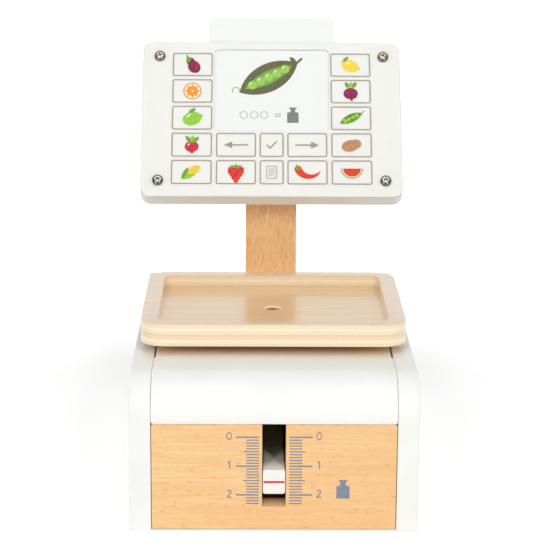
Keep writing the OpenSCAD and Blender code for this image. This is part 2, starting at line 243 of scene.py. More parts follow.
def faces_round(verts):
    """The faces that meet at some points."""
    return list({face for vert in verts for face in vert.link_faces})


def corners_of(faces):
    """The points of some faces."""
    return list({vert for face in faces for vert in face.verts})


def raise_faces(bm, faces, move):
    """Extrudes faces, moves the new ones and returns them."""
    edges = {edge for face in faces for edge in face.edges}
    made = bmesh.ops.extrude_face_region(bm, geom=[*faces, *edges])["geom"]
    bmesh.ops.translate(bm, vec=move, verts=only(bmesh.types.BMVert, made))
    return only(bmesh.types.BMFace, made)


def raise_edges(bm, edges, move, scale=1.0, centre=(0, 0, 0)):
    """Extrudes edges into walls, moves and scales the far edges and returns them."""
    made = bmesh.ops.extrude_edge_only(bm, edges=edges)["geom"]
    verts = set(only(bmesh.types.BMVert, made))
    space = Matrix.Translation(-Vector(centre))
    bmesh.ops.scale(bm, vec=(scale, scale, 1), space=space, verts=list(verts))
    bmesh.ops.translate(bm, vec=move, verts=list(verts))
    return [edge for edge in only(bmesh.types.BMEdge, made) if verts.issuperset(edge.verts)]


def sharp_edges(bm, axis=None, level=0.0):
    """Edges whose faces meet at an angle: all of them, or those that lie at a level along an axis."""
    bmesh.ops.recalc_face_normals(bm, faces=bm.faces)
    return [edge for edge in bm.edges if edge.calc_face_angle(0.0) > SHARP_ANGLE
            and (axis is None or all(abs(vert.co[axis] - level) < TOUCH for vert in edge.verts))]


def run(edge, axis):
    """How far an edge goes along an axis."""
    start, end = edge.verts
    return abs(start.co[axis] - end.co[axis])


def round_edges(bm, edges, radius, steps=EDGE_STEPS):
    """Rounds edges off."""
    bmesh.ops.bevel(bm, geom=edges, offset=radius, offset_type="OFFSET", segments=steps, profile=0.5,
                    affect="EDGES", clamp_overlap=True, material=-1)


def closed_path(bm, points):
    """Draws edges round a list of points."""
    verts = [bm.verts.new(point) for point in points]
    for index, vert in enumerate(verts):
        bm.edges.new((vert, verts[index - 1]))


def rounded_path(bm, low, high, radius, level, steps=CORNER_STEPS):
    """Edges of a rounded rectangle from one corner to the other, flat at a level."""
    old = set(bm.edges)
    corners = ((low.x, low.y), (high.x, low.y), (high.x, high.y), (low.x, high.y))
    verts = [bm.verts.new((x, y, level)) for x, y in corners]
    bm.faces.new(verts)
    bmesh.ops.bevel(bm, geom=verts, offset=radius, offset_type="OFFSET", segments=steps, profile=0.5,
                    affect="VERTICES", material=-1)
    edges = newer(bm.edges, old)
    faces = {face for edge in edges for face in edge.link_faces}
    bmesh.ops.delete(bm, geom=list(faces), context="FACES_ONLY")
    return edges


def round_path(bm, centre, radius, steps=LATHE_STEPS):
    """Edges of a circle that lies flat."""
    made = bmesh.ops.create_circle(bm, segments=steps, radius=radius, matrix=Matrix.Translation(centre))
    return list({edge for vert in made["verts"] for edge in vert.link_edges})


def filled(bm, edges):
    """Faces inside a path, with the paths inside it left open."""
    made = bmesh.ops.triangle_fill(bm, use_beauty=True, use_dissolve=False, edges=edges)["geom"]
    return only(bmesh.types.BMFace, made)


def capped(bm, edges):
    """One face inside a path."""
    return bmesh.ops.edgeloop_fill(bm, edges=edges)["faces"]


def arc(bm, start, centre, degrees, axis, steps=CURVE_STEPS):
    """Turns a new point about a centre, and returns the first and the last point of the arc."""
    first = bm.verts.new(start)
    turned = bmesh.ops.spin(bm, geom=[first], cent=centre, axis=axis, angle=math.radians(degrees),
                            steps=steps)
    return first, only(bmesh.types.BMVert, turned["geom_last"])[0]


def plate(bm, low, high, radius):
    """Builds a flat plate with rounded corners between two corners of its box."""
    face = capped(bm, rounded_path(bm, low, high, radius, low.z))
    raise_faces(bm, face, (0, 0, high.z - low.z))


def lathe(bm, profile):
    """Turns a profile of radii and heights about the z axis, in an empty mesh."""
    verts = [bm.verts.new((radius, 0, height)) for radius, height in profile]
    edges = [bm.edges.new(pair) for pair in zip(verts, verts[1:])]
    bmesh.ops.spin(bm, geom=verts + edges, cent=(0, 0, 0), axis=(0, 0, 1), angle=math.tau,
                   steps=LATHE_STEPS, use_merge=True)
    bmesh.ops.remove_doubles(bm, verts=bm.verts[:], dist=TOUCH)


def mark_faces(bm, test):
    """Gives the faces that pass a test the second finish."""
    bmesh.ops.recalc_face_normals(bm, faces=bm.faces)
    for face in bm.faces:
        if test(face.calc_center_median(), face.normal):
            face.material_index = 1


def add_piece(context, name, bm, body, finishes, nodes=(), axes=None):
    """Makes a mesh into a piece that rides on a body, and stands for the given nodes."""
    if axes:
        bm.transform(axes)
    bmesh.ops.recalc_face_normals(bm, faces=bm.faces)
    mesh = bpy.data.meshes.new(name)
    bm.to_mesh(mesh)
    bm.free()
    mesh.shade_smooth()
    mesh.set_sharp_from_angle(angle=SHARP_ANGLE)
    for each in finishes:
        mesh.materials.append(finish(each, context))
    piece = bpy.data.objects.new(name, mesh)
    context.scene.collection.objects.link(piece)
    shading = piece.modifiers.new("even_shading", "WEIGHTED_NORMAL")
    shading.keep_sharp = True
    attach(piece, body)
    if nodes:
        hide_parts(*nodes)


# Finishes

def add_node(tree, kind, inputs=None, **settings):
    """Adds a shader node. Its inputs are values, or the outputs that feed them."""
    node = tree.nodes.new(kind)
    for key, value in settings.items():
        setattr(node, key, value)
    for key, value in (inputs or {}).items():
        if isinstance(value, bpy.types.NodeSocket):
            tree.links.new(value, node.inputs[key])
        else:
            node.inputs[key].default_value = value
    return node


def start_finish(name, roughness, coat=0.0, coat_roughness=0.1, metallic=0.0):
    """A new material, as its node tree and its shader."""
    material = bpy.data.materials.new(name)
    material.use_nodes = True
    shader = material.node_tree.nodes["Principled BSDF"]
    shader.inputs["Roughness"].default_value = roughness
    shader.inputs["Metallic"].default_value = metallic
    shader.inputs["Coat Weight"].default_value = coat
    shader.inputs["Coat Roughness"].default_value = coat_roughness
    return material, material.node_tree, shader


def own_place(tree):
    """The place on the piece."""
    return add_node(tree, "ShaderNodeTexCoord").outputs["Object"]


def parts(tree, vector):
    """The parts of a vector along x, y and z."""
    return add_node(tree, "ShaderNodeSeparateXYZ", {"Vector": vector}).outputs


def stretched(tree, stretch=(1, 1, 1), turn=(0, 0, 0)):
    """The place on the piece, drawn out along an axis by a small factor there."""
    rotation = [math.radians(angle) for angle in turn]
    inputs = {"Vector": own_place(tree), "Scale": stretch, "Rotation": rotation}
    return add_node(tree, "ShaderNodeMapping", inputs).outputs["Vector"]


def noise(tree, place, scale, detail=3.0, distortion=0.0):
    """Cloudy values from 0 to 1."""
    inputs = {"Vector": place, "Scale": scale, "Detail": detail, "Distortion": distortion}
    return add_node(tree, "ShaderNodeTexNoise", inputs).outputs["Fac"]


def remap(tree, value, low, high, bottom=0.0, top=1.0):
    """Values from low to high, spread from bottom to top and held there."""
    inputs = {"Value": value, "From Min": low, "From Max": high, "To Min": bottom, "To Max": top}
    return add_node(tree, "ShaderNodeMapRange", inputs).outputs["Result"]


def worked_out(tree, operation, *values):
    """What a sum, a product or the like makes of its values."""
    node = add_node(tree, "ShaderNodeMath", dict(enumerate(values)), operation=operation)
    return node.outputs["Value"]


def blended(tree, share, first, second):
    """Colour that goes from the first to the second with a share."""
    values = [tuple(each) + (1,) if not isinstance(each, bpy.types.NodeSocket) else each
              for each in (first, second)]
    node = add_node(tree, "ShaderNodeMix", {0: share, 6: values[0], 7: values[1]}, data_type="RGBA")
    return node.outputs[2]


def tint(tree, shader, share, first, second):
    """Gives the shader a colour that goes from the first to the second with a share."""
    tree.links.new(blended(tree, share, first, second), shader.inputs["Base Color"])


def darker(tone, share):
    """A colour at a share of its strength."""
    return [part * share for part in tone]


def relief(tree, shader, height, strength, depth):
    """Lets a value raise the surface by up to a depth."""
    inputs = {"Height": height, "Strength": strength, "Distance": depth}
    tree.links.new(add_node(tree, "ShaderNodeBump", inputs).outputs["Normal"], shader.inputs["Normal"])


def painted_white(name, colours):
    """Satin white paint, with the brushed board's grain faintly under it."""
    material, tree, shader = start_finish(name, roughness=0.42)
    cloud = noise(tree, stretched(tree), scale=26)
    grain = noise(tree, stretched(tree, (0.08, 1, 1)), scale=900)
    tint(tree, shader, remap(tree, cloud, 0.3, 0.7), colours.paint, colours.paint_shade)
    tree.links.new(remap(tree, cloud, 0.2, 0.8, 0.36, 0.5), shader.inputs["Roughness"])
    relief(tree, shader, grain, strength=0.12, depth=0.05 * MM)
    return material


def flecks(tree, stretch, tilt, scale, spread, share):
    """Short flecks on upright faces: round cells drawn out along the grain, of which a share shows."""
    place = stretched(tree, stretch, (90, 0, tilt))
    inputs = {"Vector": place, "Scale": scale}
    cells = add_node(tree, "ShaderNodeTexVoronoi", inputs, voronoi_dimensions="2D").outputs
    chosen = add_node(tree, "ShaderNodeSeparateColor", {"Color": cells["Color"]}).outputs["Red"]
    shown = remap(tree, chosen, 1 - share, 1 - share / 2)
    return worked_out(tree, "MULTIPLY", remap(tree, cells["Distance"], spread, spread / 3), shown)


def streaks(tree, stretch, scale, low, high, top=1.0, distortion=0.4):
    """Values that rise from 0 to a top in streaks drawn out along the grain."""
    return remap(tree, noise(tree, stretched(tree, stretch), scale, 2, distortion), low, high, 0, top)


def lacquered_beech(name, colours):
    """Beech with its grain across under matt lacquer, with dashes and flecks, darker towards the right
    partly as painted shade, and paler where it is cut.
    """
    material, tree, shader = start_finish(name, roughness=0.5, coat=0.15, coat_roughness=0.4)
    low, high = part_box("front_panel")
    across, inward, _ = parts(tree, own_place(tree))
    # Darker towards the right: partly the board's own tone, partly painted shade for the light that
    # falls more from the left.
    tone_and_shade_to_right = remap(tree, across, low.x, high.x, top=0.5)
    broad = streaks(tree, (0.08, 1, 1), 110, 0.3, 0.7, top=0.5)
    fine = streaks(tree, (0.03, 1, 1), 800, 0.35, 0.65, top=0.75)
    dashes = streaks(tree, (0.12, 1, 1), 1700, 0.54, 0.72, top=0.4)
    spots = flecks(tree, (0.45, 1, 1), tilt=-4, scale=330, spread=0.24, share=0.12)
    tone = colours.beech
    for share in (tone_and_shade_to_right, broad, fine):
        tone = blended(tree, share, tone, colours.beech_band)
    for share in (dashes, worked_out(tree, "MULTIPLY", spots, 0.65)):
        tone = blended(tree, share, tone, colours.beech_fleck)
    cut = remap(tree, inward, low.y + MM, low.y + 2 * MM, top=0.6)
    tint(tree, shader, cut, tone, colours.beech_cut)
    relief(tree, shader, fine, strength=0.12, depth=0.05 * MM)
    return material


def lacquered_post(name, colours):
    """Beech with its grain upright, deeper in tone, with dense short wavy lines."""
    material, tree, shader = start_finish(name, roughness=0.5, coat=0.15, coat_roughness=0.4)
    broad = streaks(tree, (1, 1, 0.1), 140, 0.3, 0.7, top=0.4)
    fine = streaks(tree, (1, 1, 0.16), 1100, 0.4, 0.62, top=0.8, distortion=0.8)
    dark = streaks(tree, (1, 1, 0.12), 900, 0.58, 0.76, top=0.6, distortion=0.8)
    tone = colours.post
    for share in (broad, fine):
        tone = blended(tree, share, tone, colours.post_band)
    tint(tree, shader, dark, tone, colours.post_fleck)
    relief(tree, shader, fine, strength=0.12, depth=0.05 * MM)
    return material


# Plies of the tray's edge, by their share of its depth from the top, and how far they waver
PLIES = ((0.03, "tan"), (0.09, "pale"), (0.19, "pale"), (0.24, "cream"), (0.3, "cream"),
         (0.35, "pale"), (0.46, "pale"), (0.5, "tan"), (0.55, "tan"), (0.59, "pale"),
         (0.65, "tan"), (0.69, "pale"), (0.75, "cream"), (0.82, "cream"), (0.88, "pale"))
PLY_WAVER = 0.03

# Where the rim's veneer ends, by share of the depth, and where the plies end, by how level a face is
VENEER_ENDS = (0.3, 0.31)
EDGE_ENDS = (0.8, 0.95)


def tray_plywood(name, colours):
    """Plywood under gloss lacquer: a veneer on the flat faces, and the plies on every edge."""
    material, tree, shader = start_finish(name, roughness=0.38, coat=1.0, coat_roughness=0.17)
    low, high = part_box("weighing_tray")
    depth = remap(tree, parts(tree, own_place(tree))["Z"], high.z, low.z)
    waver = noise(tree, stretched(tree, (0.2, 0.2, 1)), scale=120)
    wavy = worked_out(tree, "MULTIPLY_ADD", waver, PLY_WAVER, depth)
    ramp = add_node(tree, "ShaderNodeValToRGB", {"Fac": wavy})
    for index, (share, tone) in enumerate(PLIES):
        stop = ramp.color_ramp.elements[index] if index < 2 else ramp.color_ramp.elements.new(share)
        stop.position = share
        stop.color = (*getattr(colours, "ply_" + tone), 1)
    pores = noise(tree, stretched(tree, (0.5, 0.5, 1)), scale=1300, detail=2)
    edge = blended(tree, remap(tree, pores, 0.5, 0.75, top=0.45), ramp.outputs["Color"], colours.ply_tan)
    lines = noise(tree, stretched(tree, (0.04, 1, 1)), scale=520, distortion=0.3)
    grain = remap(tree, lines, 0.4, 0.7, top=0.8)
    rim = blended(tree, grain, colours.veneer, colours.veneer_line)
    floor = blended(tree, grain, colours.routed, colours.routed_line)
    face = blended(tree, remap(tree, depth, *VENEER_ENDS), rim, floor)
    upward = parts(tree, add_node(tree, "ShaderNodeNewGeometry").outputs["Normal"])["Z"]
    flat = remap(tree, worked_out(tree, "ABSOLUTE", upward), *EDGE_ENDS)
    tint(tree, shader, flat, edge, face)
    relief(tree, shader, lines, strength=0.05, depth=0.03 * MM)
    return material


def printed_sheet(name, colours):
    """Smooth warm white sheet."""
    material, tree, shader = start_finish(name, roughness=0.32)
    cloud = noise(tree, stretched(tree), scale=40)
    tint(tree, shader, remap(tree, cloud, 0.3, 0.7, top=0.5), colours.sheet, colours.paint_shade)
    tree.links.new(remap(tree, cloud, 0.2, 0.8, 0.28, 0.36), shader.inputs["Roughness"])
    shader.inputs["Subsurface Weight"].default_value = 1.0
    shader.inputs["Subsurface Radius"].default_value = (1, 1, 1)
    shader.inputs["Subsurface Scale"].default_value = 1.5 * MM
    return material


def picture_board(name, colours):
    """Coated white card with a faint fibre in it."""
    material, tree, shader = start_finish(name, roughness=0.45)
    fibre = noise(tree, stretched(tree), scale=1800, detail=2)
    tint(tree, shader, remap(tree, fibre, 0.4, 0.75, top=0.4), colours.card, colours.paint_shade)
    relief(tree, shader, fibre, strength=0.06, depth=0.02 * MM)
    return material


def clear_pane(name, colours):
    """Clear acrylic, which takes a little of its tone from a faint haze."""
    material, tree, shader = start_finish(name, roughness=0.08)
    tint(tree, shader, noise(tree, stretched(tree), scale=30), colours.card, colours.sheet)
    shader.inputs["Alpha"].default_value = 0.03
    return material


def steel(name, tone, roughness):
    """Metal with fine scratches and uneven shine."""
    material, tree, shader = start_finish(name, roughness, metallic=1.0)
    scratch = noise(tree, stretched(tree, (1, 1, 0.2)), scale=2600, detail=4)
    tint(tree, shader, remap(tree, scratch, 0.4, 0.7), tone, darker(tone, 0.72))
    uneven = remap(tree, scratch, 0.3, 0.7, roughness - 0.04, roughness + 0.06)
    tree.links.new(uneven, shader.inputs["Roughness"])
    relief(tree, shader, scratch, strength=0.1, depth=0.02 * MM)
    return material


def plated_steel(name, colours):
    """Plated screws."""
    return steel(name, colours.steel, roughness=0.12)


def worn_steel(name, colours):
    """The tray's screw, duller than the plated ones, with its colour painted lighter to stand in for the
    light that falls on it.
    """
    return steel(name, colours.worn_steel, roughness=0.4)


def spring_wire(name, colours):
    """Drawn wire."""
    return steel(name, colours.spring, roughness=0.26)


def bare_wood(name, tone, stretch, depth=0.8):
    """Wood without lacquer, with its grain drawn out along one axis."""
    material, tree, shader = start_finish(name, roughness=0.7)
    grain = noise(tree, stretched(tree, stretch), scale=420, distortion=0.5)
    tint(tree, shader, remap(tree, grain, 0.4, 0.75, top=depth), tone, darker(tone, 0.7))
    relief(tree, shader, grain, strength=0.3, depth=0.08 * MM)
    return material


def bare_plywood(name, colours):
    """Plywood of the base, with its grain from front to back."""
    return bare_wood(name, colours.plywood, (1, 0.06, 1))


def pale_plywood(name, colours):
    """Sanded plywood of the top board, with its grain across."""
    return bare_wood(name, colours.pale_plywood, (0.06, 1, 1), depth=0.35)


def bare_hardwood(name, colours):
    """Turned and sawn hardwood, with its grain upright."""
    return bare_wood(name, colours.hardwood, (1, 1, 0.08))


def ink(name, colours):
    """Printed ink of the colour that follows the first underscore, a little uneven."""
    tone = getattr(colours, name.split("_", 1)[1])
    material, tree, shader = start_finish(name, roughness=0.5)
    shader.inputs["Specular IOR Level"].default_value = 0.15
    speckle = noise(tree, stretched(tree), scale=1300, detail=4)
    thin = [part + (1 - part) * 0.06 for part in tone]
    tint(tree, shader, remap(tree, speckle, 0.45, 0.75), tone, thin)
    return material


FINISHES = {maker.__name__: maker for maker in (
    painted_white, lacquered_beech, lacquered_post, tray_plywood, printed_sheet, picture_board,
    clear_pane, plated_steel, worn_steel, spring_wire, bare_plywood, pale_plywood, bare_hardwood)}


def finish(name, context):
    """The finish or ink of a name, made when a piece first asks for it."""
    own = "toy_" + name
    made = bpy.data.materials.get(own)
    return made or FINISHES.get(name, ink)(own, context.scene.toy_scale_colours)


# Prints

class Print:
    """Flat shapes of ink, drawn in millimetres. Each is a thin closed solid, a hair above the last."""

    def __init__(self, *inks):
        self.bm = bmesh.new()
        self.inks = inks
        self.move_to(0, 0)

    def move_to(self, x, y, size=1.0):
        """Starts a picture round a middle, at its own size."""
        self.place = Matrix.Translation((x * MM, y * MM, 0)) @ Matrix.Scale(size * MM, 4)
        self.height = INK_BASE

    def lay(self, tone, faces):
        """Lays new flat faces down as ink."""
        bmesh.ops.transform(self.bm, matrix=self.place, verts=corners_of(faces))
        top = raise_faces(self.bm, faces, (0, 0, self.height))
        for face in faces + faces_round(corners_of(top)):
            face.material_index = self.inks.index(tone)
        self.height += INK_STEP

    def disc(self, tone, x, y, wide, high=None, turn=0.0):
        """A round or oval patch."""
        matrix = (Matrix.Translation((x, y, 0)) @ Matrix.Rotation(math.radians(turn), 4, "Z")
                  @ Matrix.Diagonal((wide / 2, (high or wide) / 2, 1, 1)))
        made = bmesh.ops.create_circle(self.bm, cap_ends=True, segments=DISC_STEPS, radius=1,
                                       matrix=matrix)
        self.lay(tone, faces_round(made["verts"]))

    def patch(self, tone, *points):
        """A patch with a few corners."""
        self.lay(tone, [self.bm.faces.new([self.bm.verts.new((x, y, 0)) for x, y in points])])

    def bar(self, tone, start, end, width):
        """A straight stroke."""
        start, end = Vector(start), Vector(end)
        side = (end - start).orthogonal().normalized() * width / 2
        self.patch(tone, start - side, end - side, end + side, start + side)

    def band(self, tone, centre, radius, width, start=0.0, sweep=360.0, squeeze=1.0):
        """A ring or a part of one, squeezed across into an oval."""
        old = set(self.bm.verts)
        verts = [self.bm.verts.new((radius + hand * width / 2, 0, 0)) for hand in (-1, 1)]
        edge = self.bm.edges.new(verts)
        bmesh.ops.rotate(self.bm, matrix=Matrix.Rotation(math.radians(start), 3, "Z"), verts=verts)
        bmesh.ops.spin(self.bm, geom=verts + [edge], cent=(0, 0, 0), axis=(0, 0, 1),
                       angle=math.radians(sweep), steps=STROKE_STEPS, use_merge=sweep == 360)
        bmesh.ops.remove_doubles(self.bm, verts=newer(self.bm.verts, old), dist=TOUCH)
        made = newer(self.bm.verts, old)
        bmesh.ops.scale(self.bm, vec=(squeeze, 1, 1), verts=made)
        bmesh.ops.translate(self.bm, vec=(*centre, 0), verts=made)
        self.lay(tone, faces_round(made))

    def leaf(self, tone, base, tip, width):
        """A pointed oval from one tip to the other."""
        base, tip = Vector((*base, 0)), Vector((*tip, 0))
        reach, bulge = (tip - base).length / 2, width / 2
        radius = (reach ** 2 + bulge ** 2) / (2 * bulge)
        side = Vector((0, 0, 1)).cross(tip - base).normalized() * (radius - bulge)
        sweep = -2 * math.degrees(math.asin(reach / radius))
        old = set(self.bm.verts)
        for start, hand in ((base, -1), (tip, 1)):
            arc(self.bm, start, (base + tip) / 2 + side * hand, sweep, (0, 0, 1), STROKE_STEPS)
        bmesh.ops.remove_doubles(self.bm, verts=newer(self.bm.verts, old), dist=LEAF_TOUCH)
        edges = {edge for vert in newer(self.bm.verts, old) for edge in vert.link_edges}
        self.lay(tone, capped(self.bm, list(edges)))

    def outline(self, tone, wide, high, radius, width):
        """The line round a rounded rectangle."""
        outer = Vector((wide / 2, high / 2))
        inner = outer - Vector((width, width))
        edges = [edge for corner, bend in ((outer, radius), (inner, radius - width))
                 for edge in rounded_path(self.bm, -corner, corner, bend, 0.0, EDGE_STEPS)]
        self.lay(tone, bmesh.ops.bridge_loops(self.bm, edges=edges)["faces"])

    def weight(self, tone):
        """A plain shop weight, about 8 mm wide."""
        self.patch(tone, (-3.9, -5.8), (3.9, -5.8), (3.9, 1.6), (3.4, 2.1), (-3.4, 2.1), (-3.9, 1.6))
        self.patch(tone, (-2.0, 2.0), (2.0, 2.0), (1.5, 3.2), (1.6, 4.3), (-1.6, 4.3), (-1.5, 3.2))
        self.patch(tone, (-1.6, 4.2), (1.6, 4.2), (3.0, 5.8), (-3.0, 5.8))

    def numeral(self, tone, digit, stroke):
        """A numeral from 0 to 2, about 4.7 mm high."""
        if digit == 0:
            self.band(tone, (0, 0), 2.1, stroke, squeeze=0.7)
        elif digit == 1:
            self.bar(tone, (0.3, -2.35), (0.3, 2.35), stroke)
            self.bar(tone, (0.4, 2.2), (-0.9, 1.4), stroke)
        else:
            self.band(tone, (0, 1.05), 1.1, stroke, 160, -200)
            self.bar(tone, (0.95, 0.6), (-1.25, -2.1), stroke)
            self.bar(tone, (-1.45, -2.1), (1.45, -2.1), stroke)


def aubergine(pen):
    """Purple aubergine with a green cap."""
    pen.disc("plum", 0.9, -1.6, 7.4, 8.6, 28)
    pen.disc("plum", -1.2, 1.9, 5.0, 6.6, 30)
    pen.leaf("rose", (3.0, -3.4), (2.2, 1.0), 1.0)
    pen.leaf("leaf", (-4.3, 2.2), (-0.4, 4.9), 2.0)
    pen.leaf("leaf", (-3.7, 5.0), (-2.2, 1.4), 1.8)
    pen.bar("leaf", (-2.6, 4.0), (-3.8, 6.4), 0.9)


def orange_slice(pen):
    """Cut orange with its segments."""
    pen.disc("orange", 0, 0, 11.2)
    pen.disc("cream", 0, 0, 9.6)
    for turn in range(0, 360, 45):
        way = Vector((math.cos(math.radians(turn)), math.sin(math.radians(turn))))
        pen.leaf("orange", way * 0.6, way * 4.4, 2.3)


def lime(pen):
    """Green lime with a leaf."""
    pen.disc("lime", 0, -0.6, 11.4, 9.0, 18)
    pen.disc("lime", 5.0, 1.1, 3.0, 2.2, 18)
    pen.leaf("cream", (-3.6, 0.2), (-0.6, 2.6), 0.9)
    pen.leaf("leaf", (-2.2, 3.4), (2.2, 6.2), 2.2)


def radish(pen):
    """Red radish with a pale root and leaves."""
    pen.leaf("cream", (0, -2.4), (0.9, -6.4), 1.6)
    pen.disc("rose", 0, -1.2, 8.4, 7.4)
    pen.leaf("rose", (-1.0, -3.6), (1.0, -5.6), 2.0)
    pen.leaf("cream", (-2.4, -0.8), (-1.2, 1.0), 0.8)
    pen.leaf("leaf", (0, 1.4), (-3.8, 5.8), 2.4)
    pen.leaf("lime", (0.2, 1.6), (0.6, 6.4), 2.4)
    pen.leaf("leaf", (0.4, 1.4), (4.4, 5.2), 2.4)


def corn(pen):
    """Yellow corn cob in its husk."""
    pen.disc("yellow", 0.4, 0.4, 11.6, 5.4, 35)
    along = Vector((math.cos(math.radians(35)), math.sin(math.radians(35))))
    for step in range(-4, 5):
        for row in (-1, 0, 1):
            spot = along * step * 1.1 + along.orthogonal() * row * 1.4 + Vector((0.4, 0.4))
            if abs(step) + abs(row) < 5:
                pen.disc("gold", spot.x, spot.y, 0.75)
    pen.leaf("lime", (-5.8, -4.6), (2.4, -1.2), 2.6)
    pen.leaf("leaf", (-5.8, -4.6), (-1.8, 3.0), 2.6)


def lemon(pen):
    """Yellow lemon with a leaf."""
    pen.disc("yellow", 0, -0.6, 10.4, 7.6, -24)
    pen.leaf("yellow", (-5.9, 2.0), (5.9, -3.2), 5.4)
    pen.leaf("cream", (-2.8, 1.2), (0.4, 1.4), 0.8)
    pen.leaf("leaf", (-4.6, 2.2), (-1.0, 5.8), 2.0)


def beetroot(pen):
    """Purple beetroot with leaves."""
    pen.disc("plum", 0, -1.4, 8.8, 7.6)
    pen.leaf("plum", (0, -3.6), (0.8, -6.6), 1.5)
    pen.leaf("rose", (-2.6, -1.6), (-1.2, 0.6), 0.8)
    for reach, tone in ((-3.2, "leaf"), (0.2, "lime"), (3.4, "leaf")):
        pen.bar("rose", (reach / 6, 1.6), (reach * 0.6, 4.0), 0.6)
        pen.leaf(tone, (reach * 0.4, 2.6), (reach, 6.4), 2.4)


def pea_pod(pen):
    """Open green pod with its peas."""
    pen.leaf("leaf", (-7.0, -3.6), (7.0, 3.6), 5.6)
    pen.leaf("olive", (-5.8, -2.8), (5.8, 3.2), 3.6)
    for share in (-3.6, -1.3, 1.2, 3.5):
        pen.disc("lime", share, share * 0.52 + 0.1, 2.7)
    pen.bar("leaf", (6.6, 3.4), (8.0, 4.8), 0.6)


def potato(pen):
    """Brown potato with eyes."""
    pen.disc("brown", -0.8, -0.4, 10.6, 7.6, 14)
    pen.disc("brown", 2.4, 0.8, 7.0, 6.2, 14)
    for x, y in ((-3.2, 0.6), (-0.6, -1.8), (1.4, 1.6), (3.6, -0.4), (-1.4, 1.4)):
        pen.disc("bark", x, y, 1.0, 0.5, 20)


def melon(pen):
    """Wedge of melon with pips."""
    pen.band("leaf", (0, 2.6), 3.3, 6.6, 180, 180)
    pen.band("cream", (0, 2.6), 3.0, 6.0, 180, 180)
    pen.band("tomato", (0, 2.6), 2.7, 5.4, 180, 180)
    for x, y in ((-3.2, 1.2), (-1.3, 0.2), (1.0, 0.8), (3.0, 1.4), (-0.2, -1.4), (1.7, -0.8)):
        pen.disc("bark", x, y, 0.6, 0.9)


def raspberry(pen):
    """Red berry of round drupes."""
    for row, count in enumerate((4, 4, 3, 2, 1)):
        for place in range(count):
            tone = "rose" if (row + place) % 2 else "tomato"
            pen.disc(tone, (place - (count - 1) / 2) * 2.3, 2.0 - row * 1.9, 2.9)
    for tip in (-3.6, 0, 3.6):
        pen.leaf("leaf", (0, 3.0), (tip, 5.4 - abs(tip) * 0.3), 1.5)


def chilli(pen):
    """Curved red chilli."""
    for step in range(15):
        turn = math.radians(200 + step * 9)
        thick = 4.2 * (1 - (step / 15) ** 1.6) + 0.3
        pen.disc("tomato", 1.4 + 7.4 * math.cos(turn), 4.6 + 7.4 * math.sin(turn), thick)
    pen.leaf("leaf", (-7.2, 2.2), (-3.6, 2.8), 1.8)
    pen.bar("leaf", (-5.8, 2.6), (-6.8, 5.2), 0.8)


def arrow(pen, hand):
    """Arrow to the left or to the right."""
    pen.bar("key_line", (-hand * 8.2, 0), (hand * 4, 0), 0.95)
    pen.patch("key_line", (hand * 8.2, 0), (hand * 2.6, hand * 2.5), (hand * 2.6, -hand * 2.5))


def tick(pen):
    """Sign of agreement."""
    pen.bar("key_line", (-3.4, 0.2), (-0.9, -2.6), 0.9)
    pen.bar("key_line", (-1.2, -2.6), (3.6, 3.0), 0.9)


def written_list(pen):
    """A page with lines of writing."""
    pen.outline("key_line", 7.2, 9.4, 0.9, 0.45)
    for level in (2.4, 0.8, -0.8, -2.4):
        pen.bar("key_line", (-2.2, level), (2.2 if level > -2 else 0.8, level), 0.4)


PICTURES = {
    "left": (aubergine, orange_slice, lime, radish, corn),
    "right": (lemon, beetroot, pea_pod, potato, melon),
    "middle": (raspberry, chilli),
}
PICTURE_INKS = ("olive", "leaf", "lime", "yellow", "gold", "orange", "tomato", "rose", "plum", "brown",
                "bark", "cream")

# Keys, in millimetres on the display's face
KEY_PITCH = 20.2
KEY_HIGH = 17.8
KEY_ROWS = 5
KEY_CORNER = 1.5
KEY_STROKE = 0.8
OUTER_KEY = {"wide": 27.4, "at": 54.1}
WIDE_KEY = {"wide": 27.0, "at": 24.1}
NARROW_KEY = {"wide": 16.2, "at": 0.0}
PICTURE_SIZE = 1.12

# Scale beside the slot, in millimetres on the front panel's face
ZERO_LEVEL = 58.1
TICK_PITCH = 1.785
TICK_COUNT = 24
UNIT_TICKS = 10
HALF_TICKS = 5
TICK_START = 8.9
TICK_ENDS = {"short": 16.5, "middle": 18.2, "unit": 22.4}
TICK_STROKE = 0.75
UNIT_STROKE = 0.95
NUMERAL_AT = 26.4
NUMERAL_RISE = 0.7
NUMERAL_STROKE = 0.75
WEIGHT_PLACE = (40.7, 26.0)

# Print of the card, in millimetres from the middle of the display's face
POD_PLACE = (-2, 31)
SIGNS_LEVEL = 3
RINGS_AT = (-19, -12, -5)
EQUALS_ENDS = (2.2, 6.4)
CARD_WEIGHT_AT = 14.5

# Turn of the cross in the tray's screw, in degrees, and of those on the display, in radians a metre
TRAY_CROSS_TURN = 20
PAN_CROSS_TURN = 200

# Finishes of the housing's boards: painted outside, bare inside
PAINTED_BOARD = ("painted_white", "bare_plywood")


# Operators

class ToyScaleStep:
    """What every step shares."""

    bl_options = {"REGISTER", "UNDO"}

    def execute(self, context):
        self.build(context, context.scene.toy_scale_sizes)
        return {"FINISHED"}


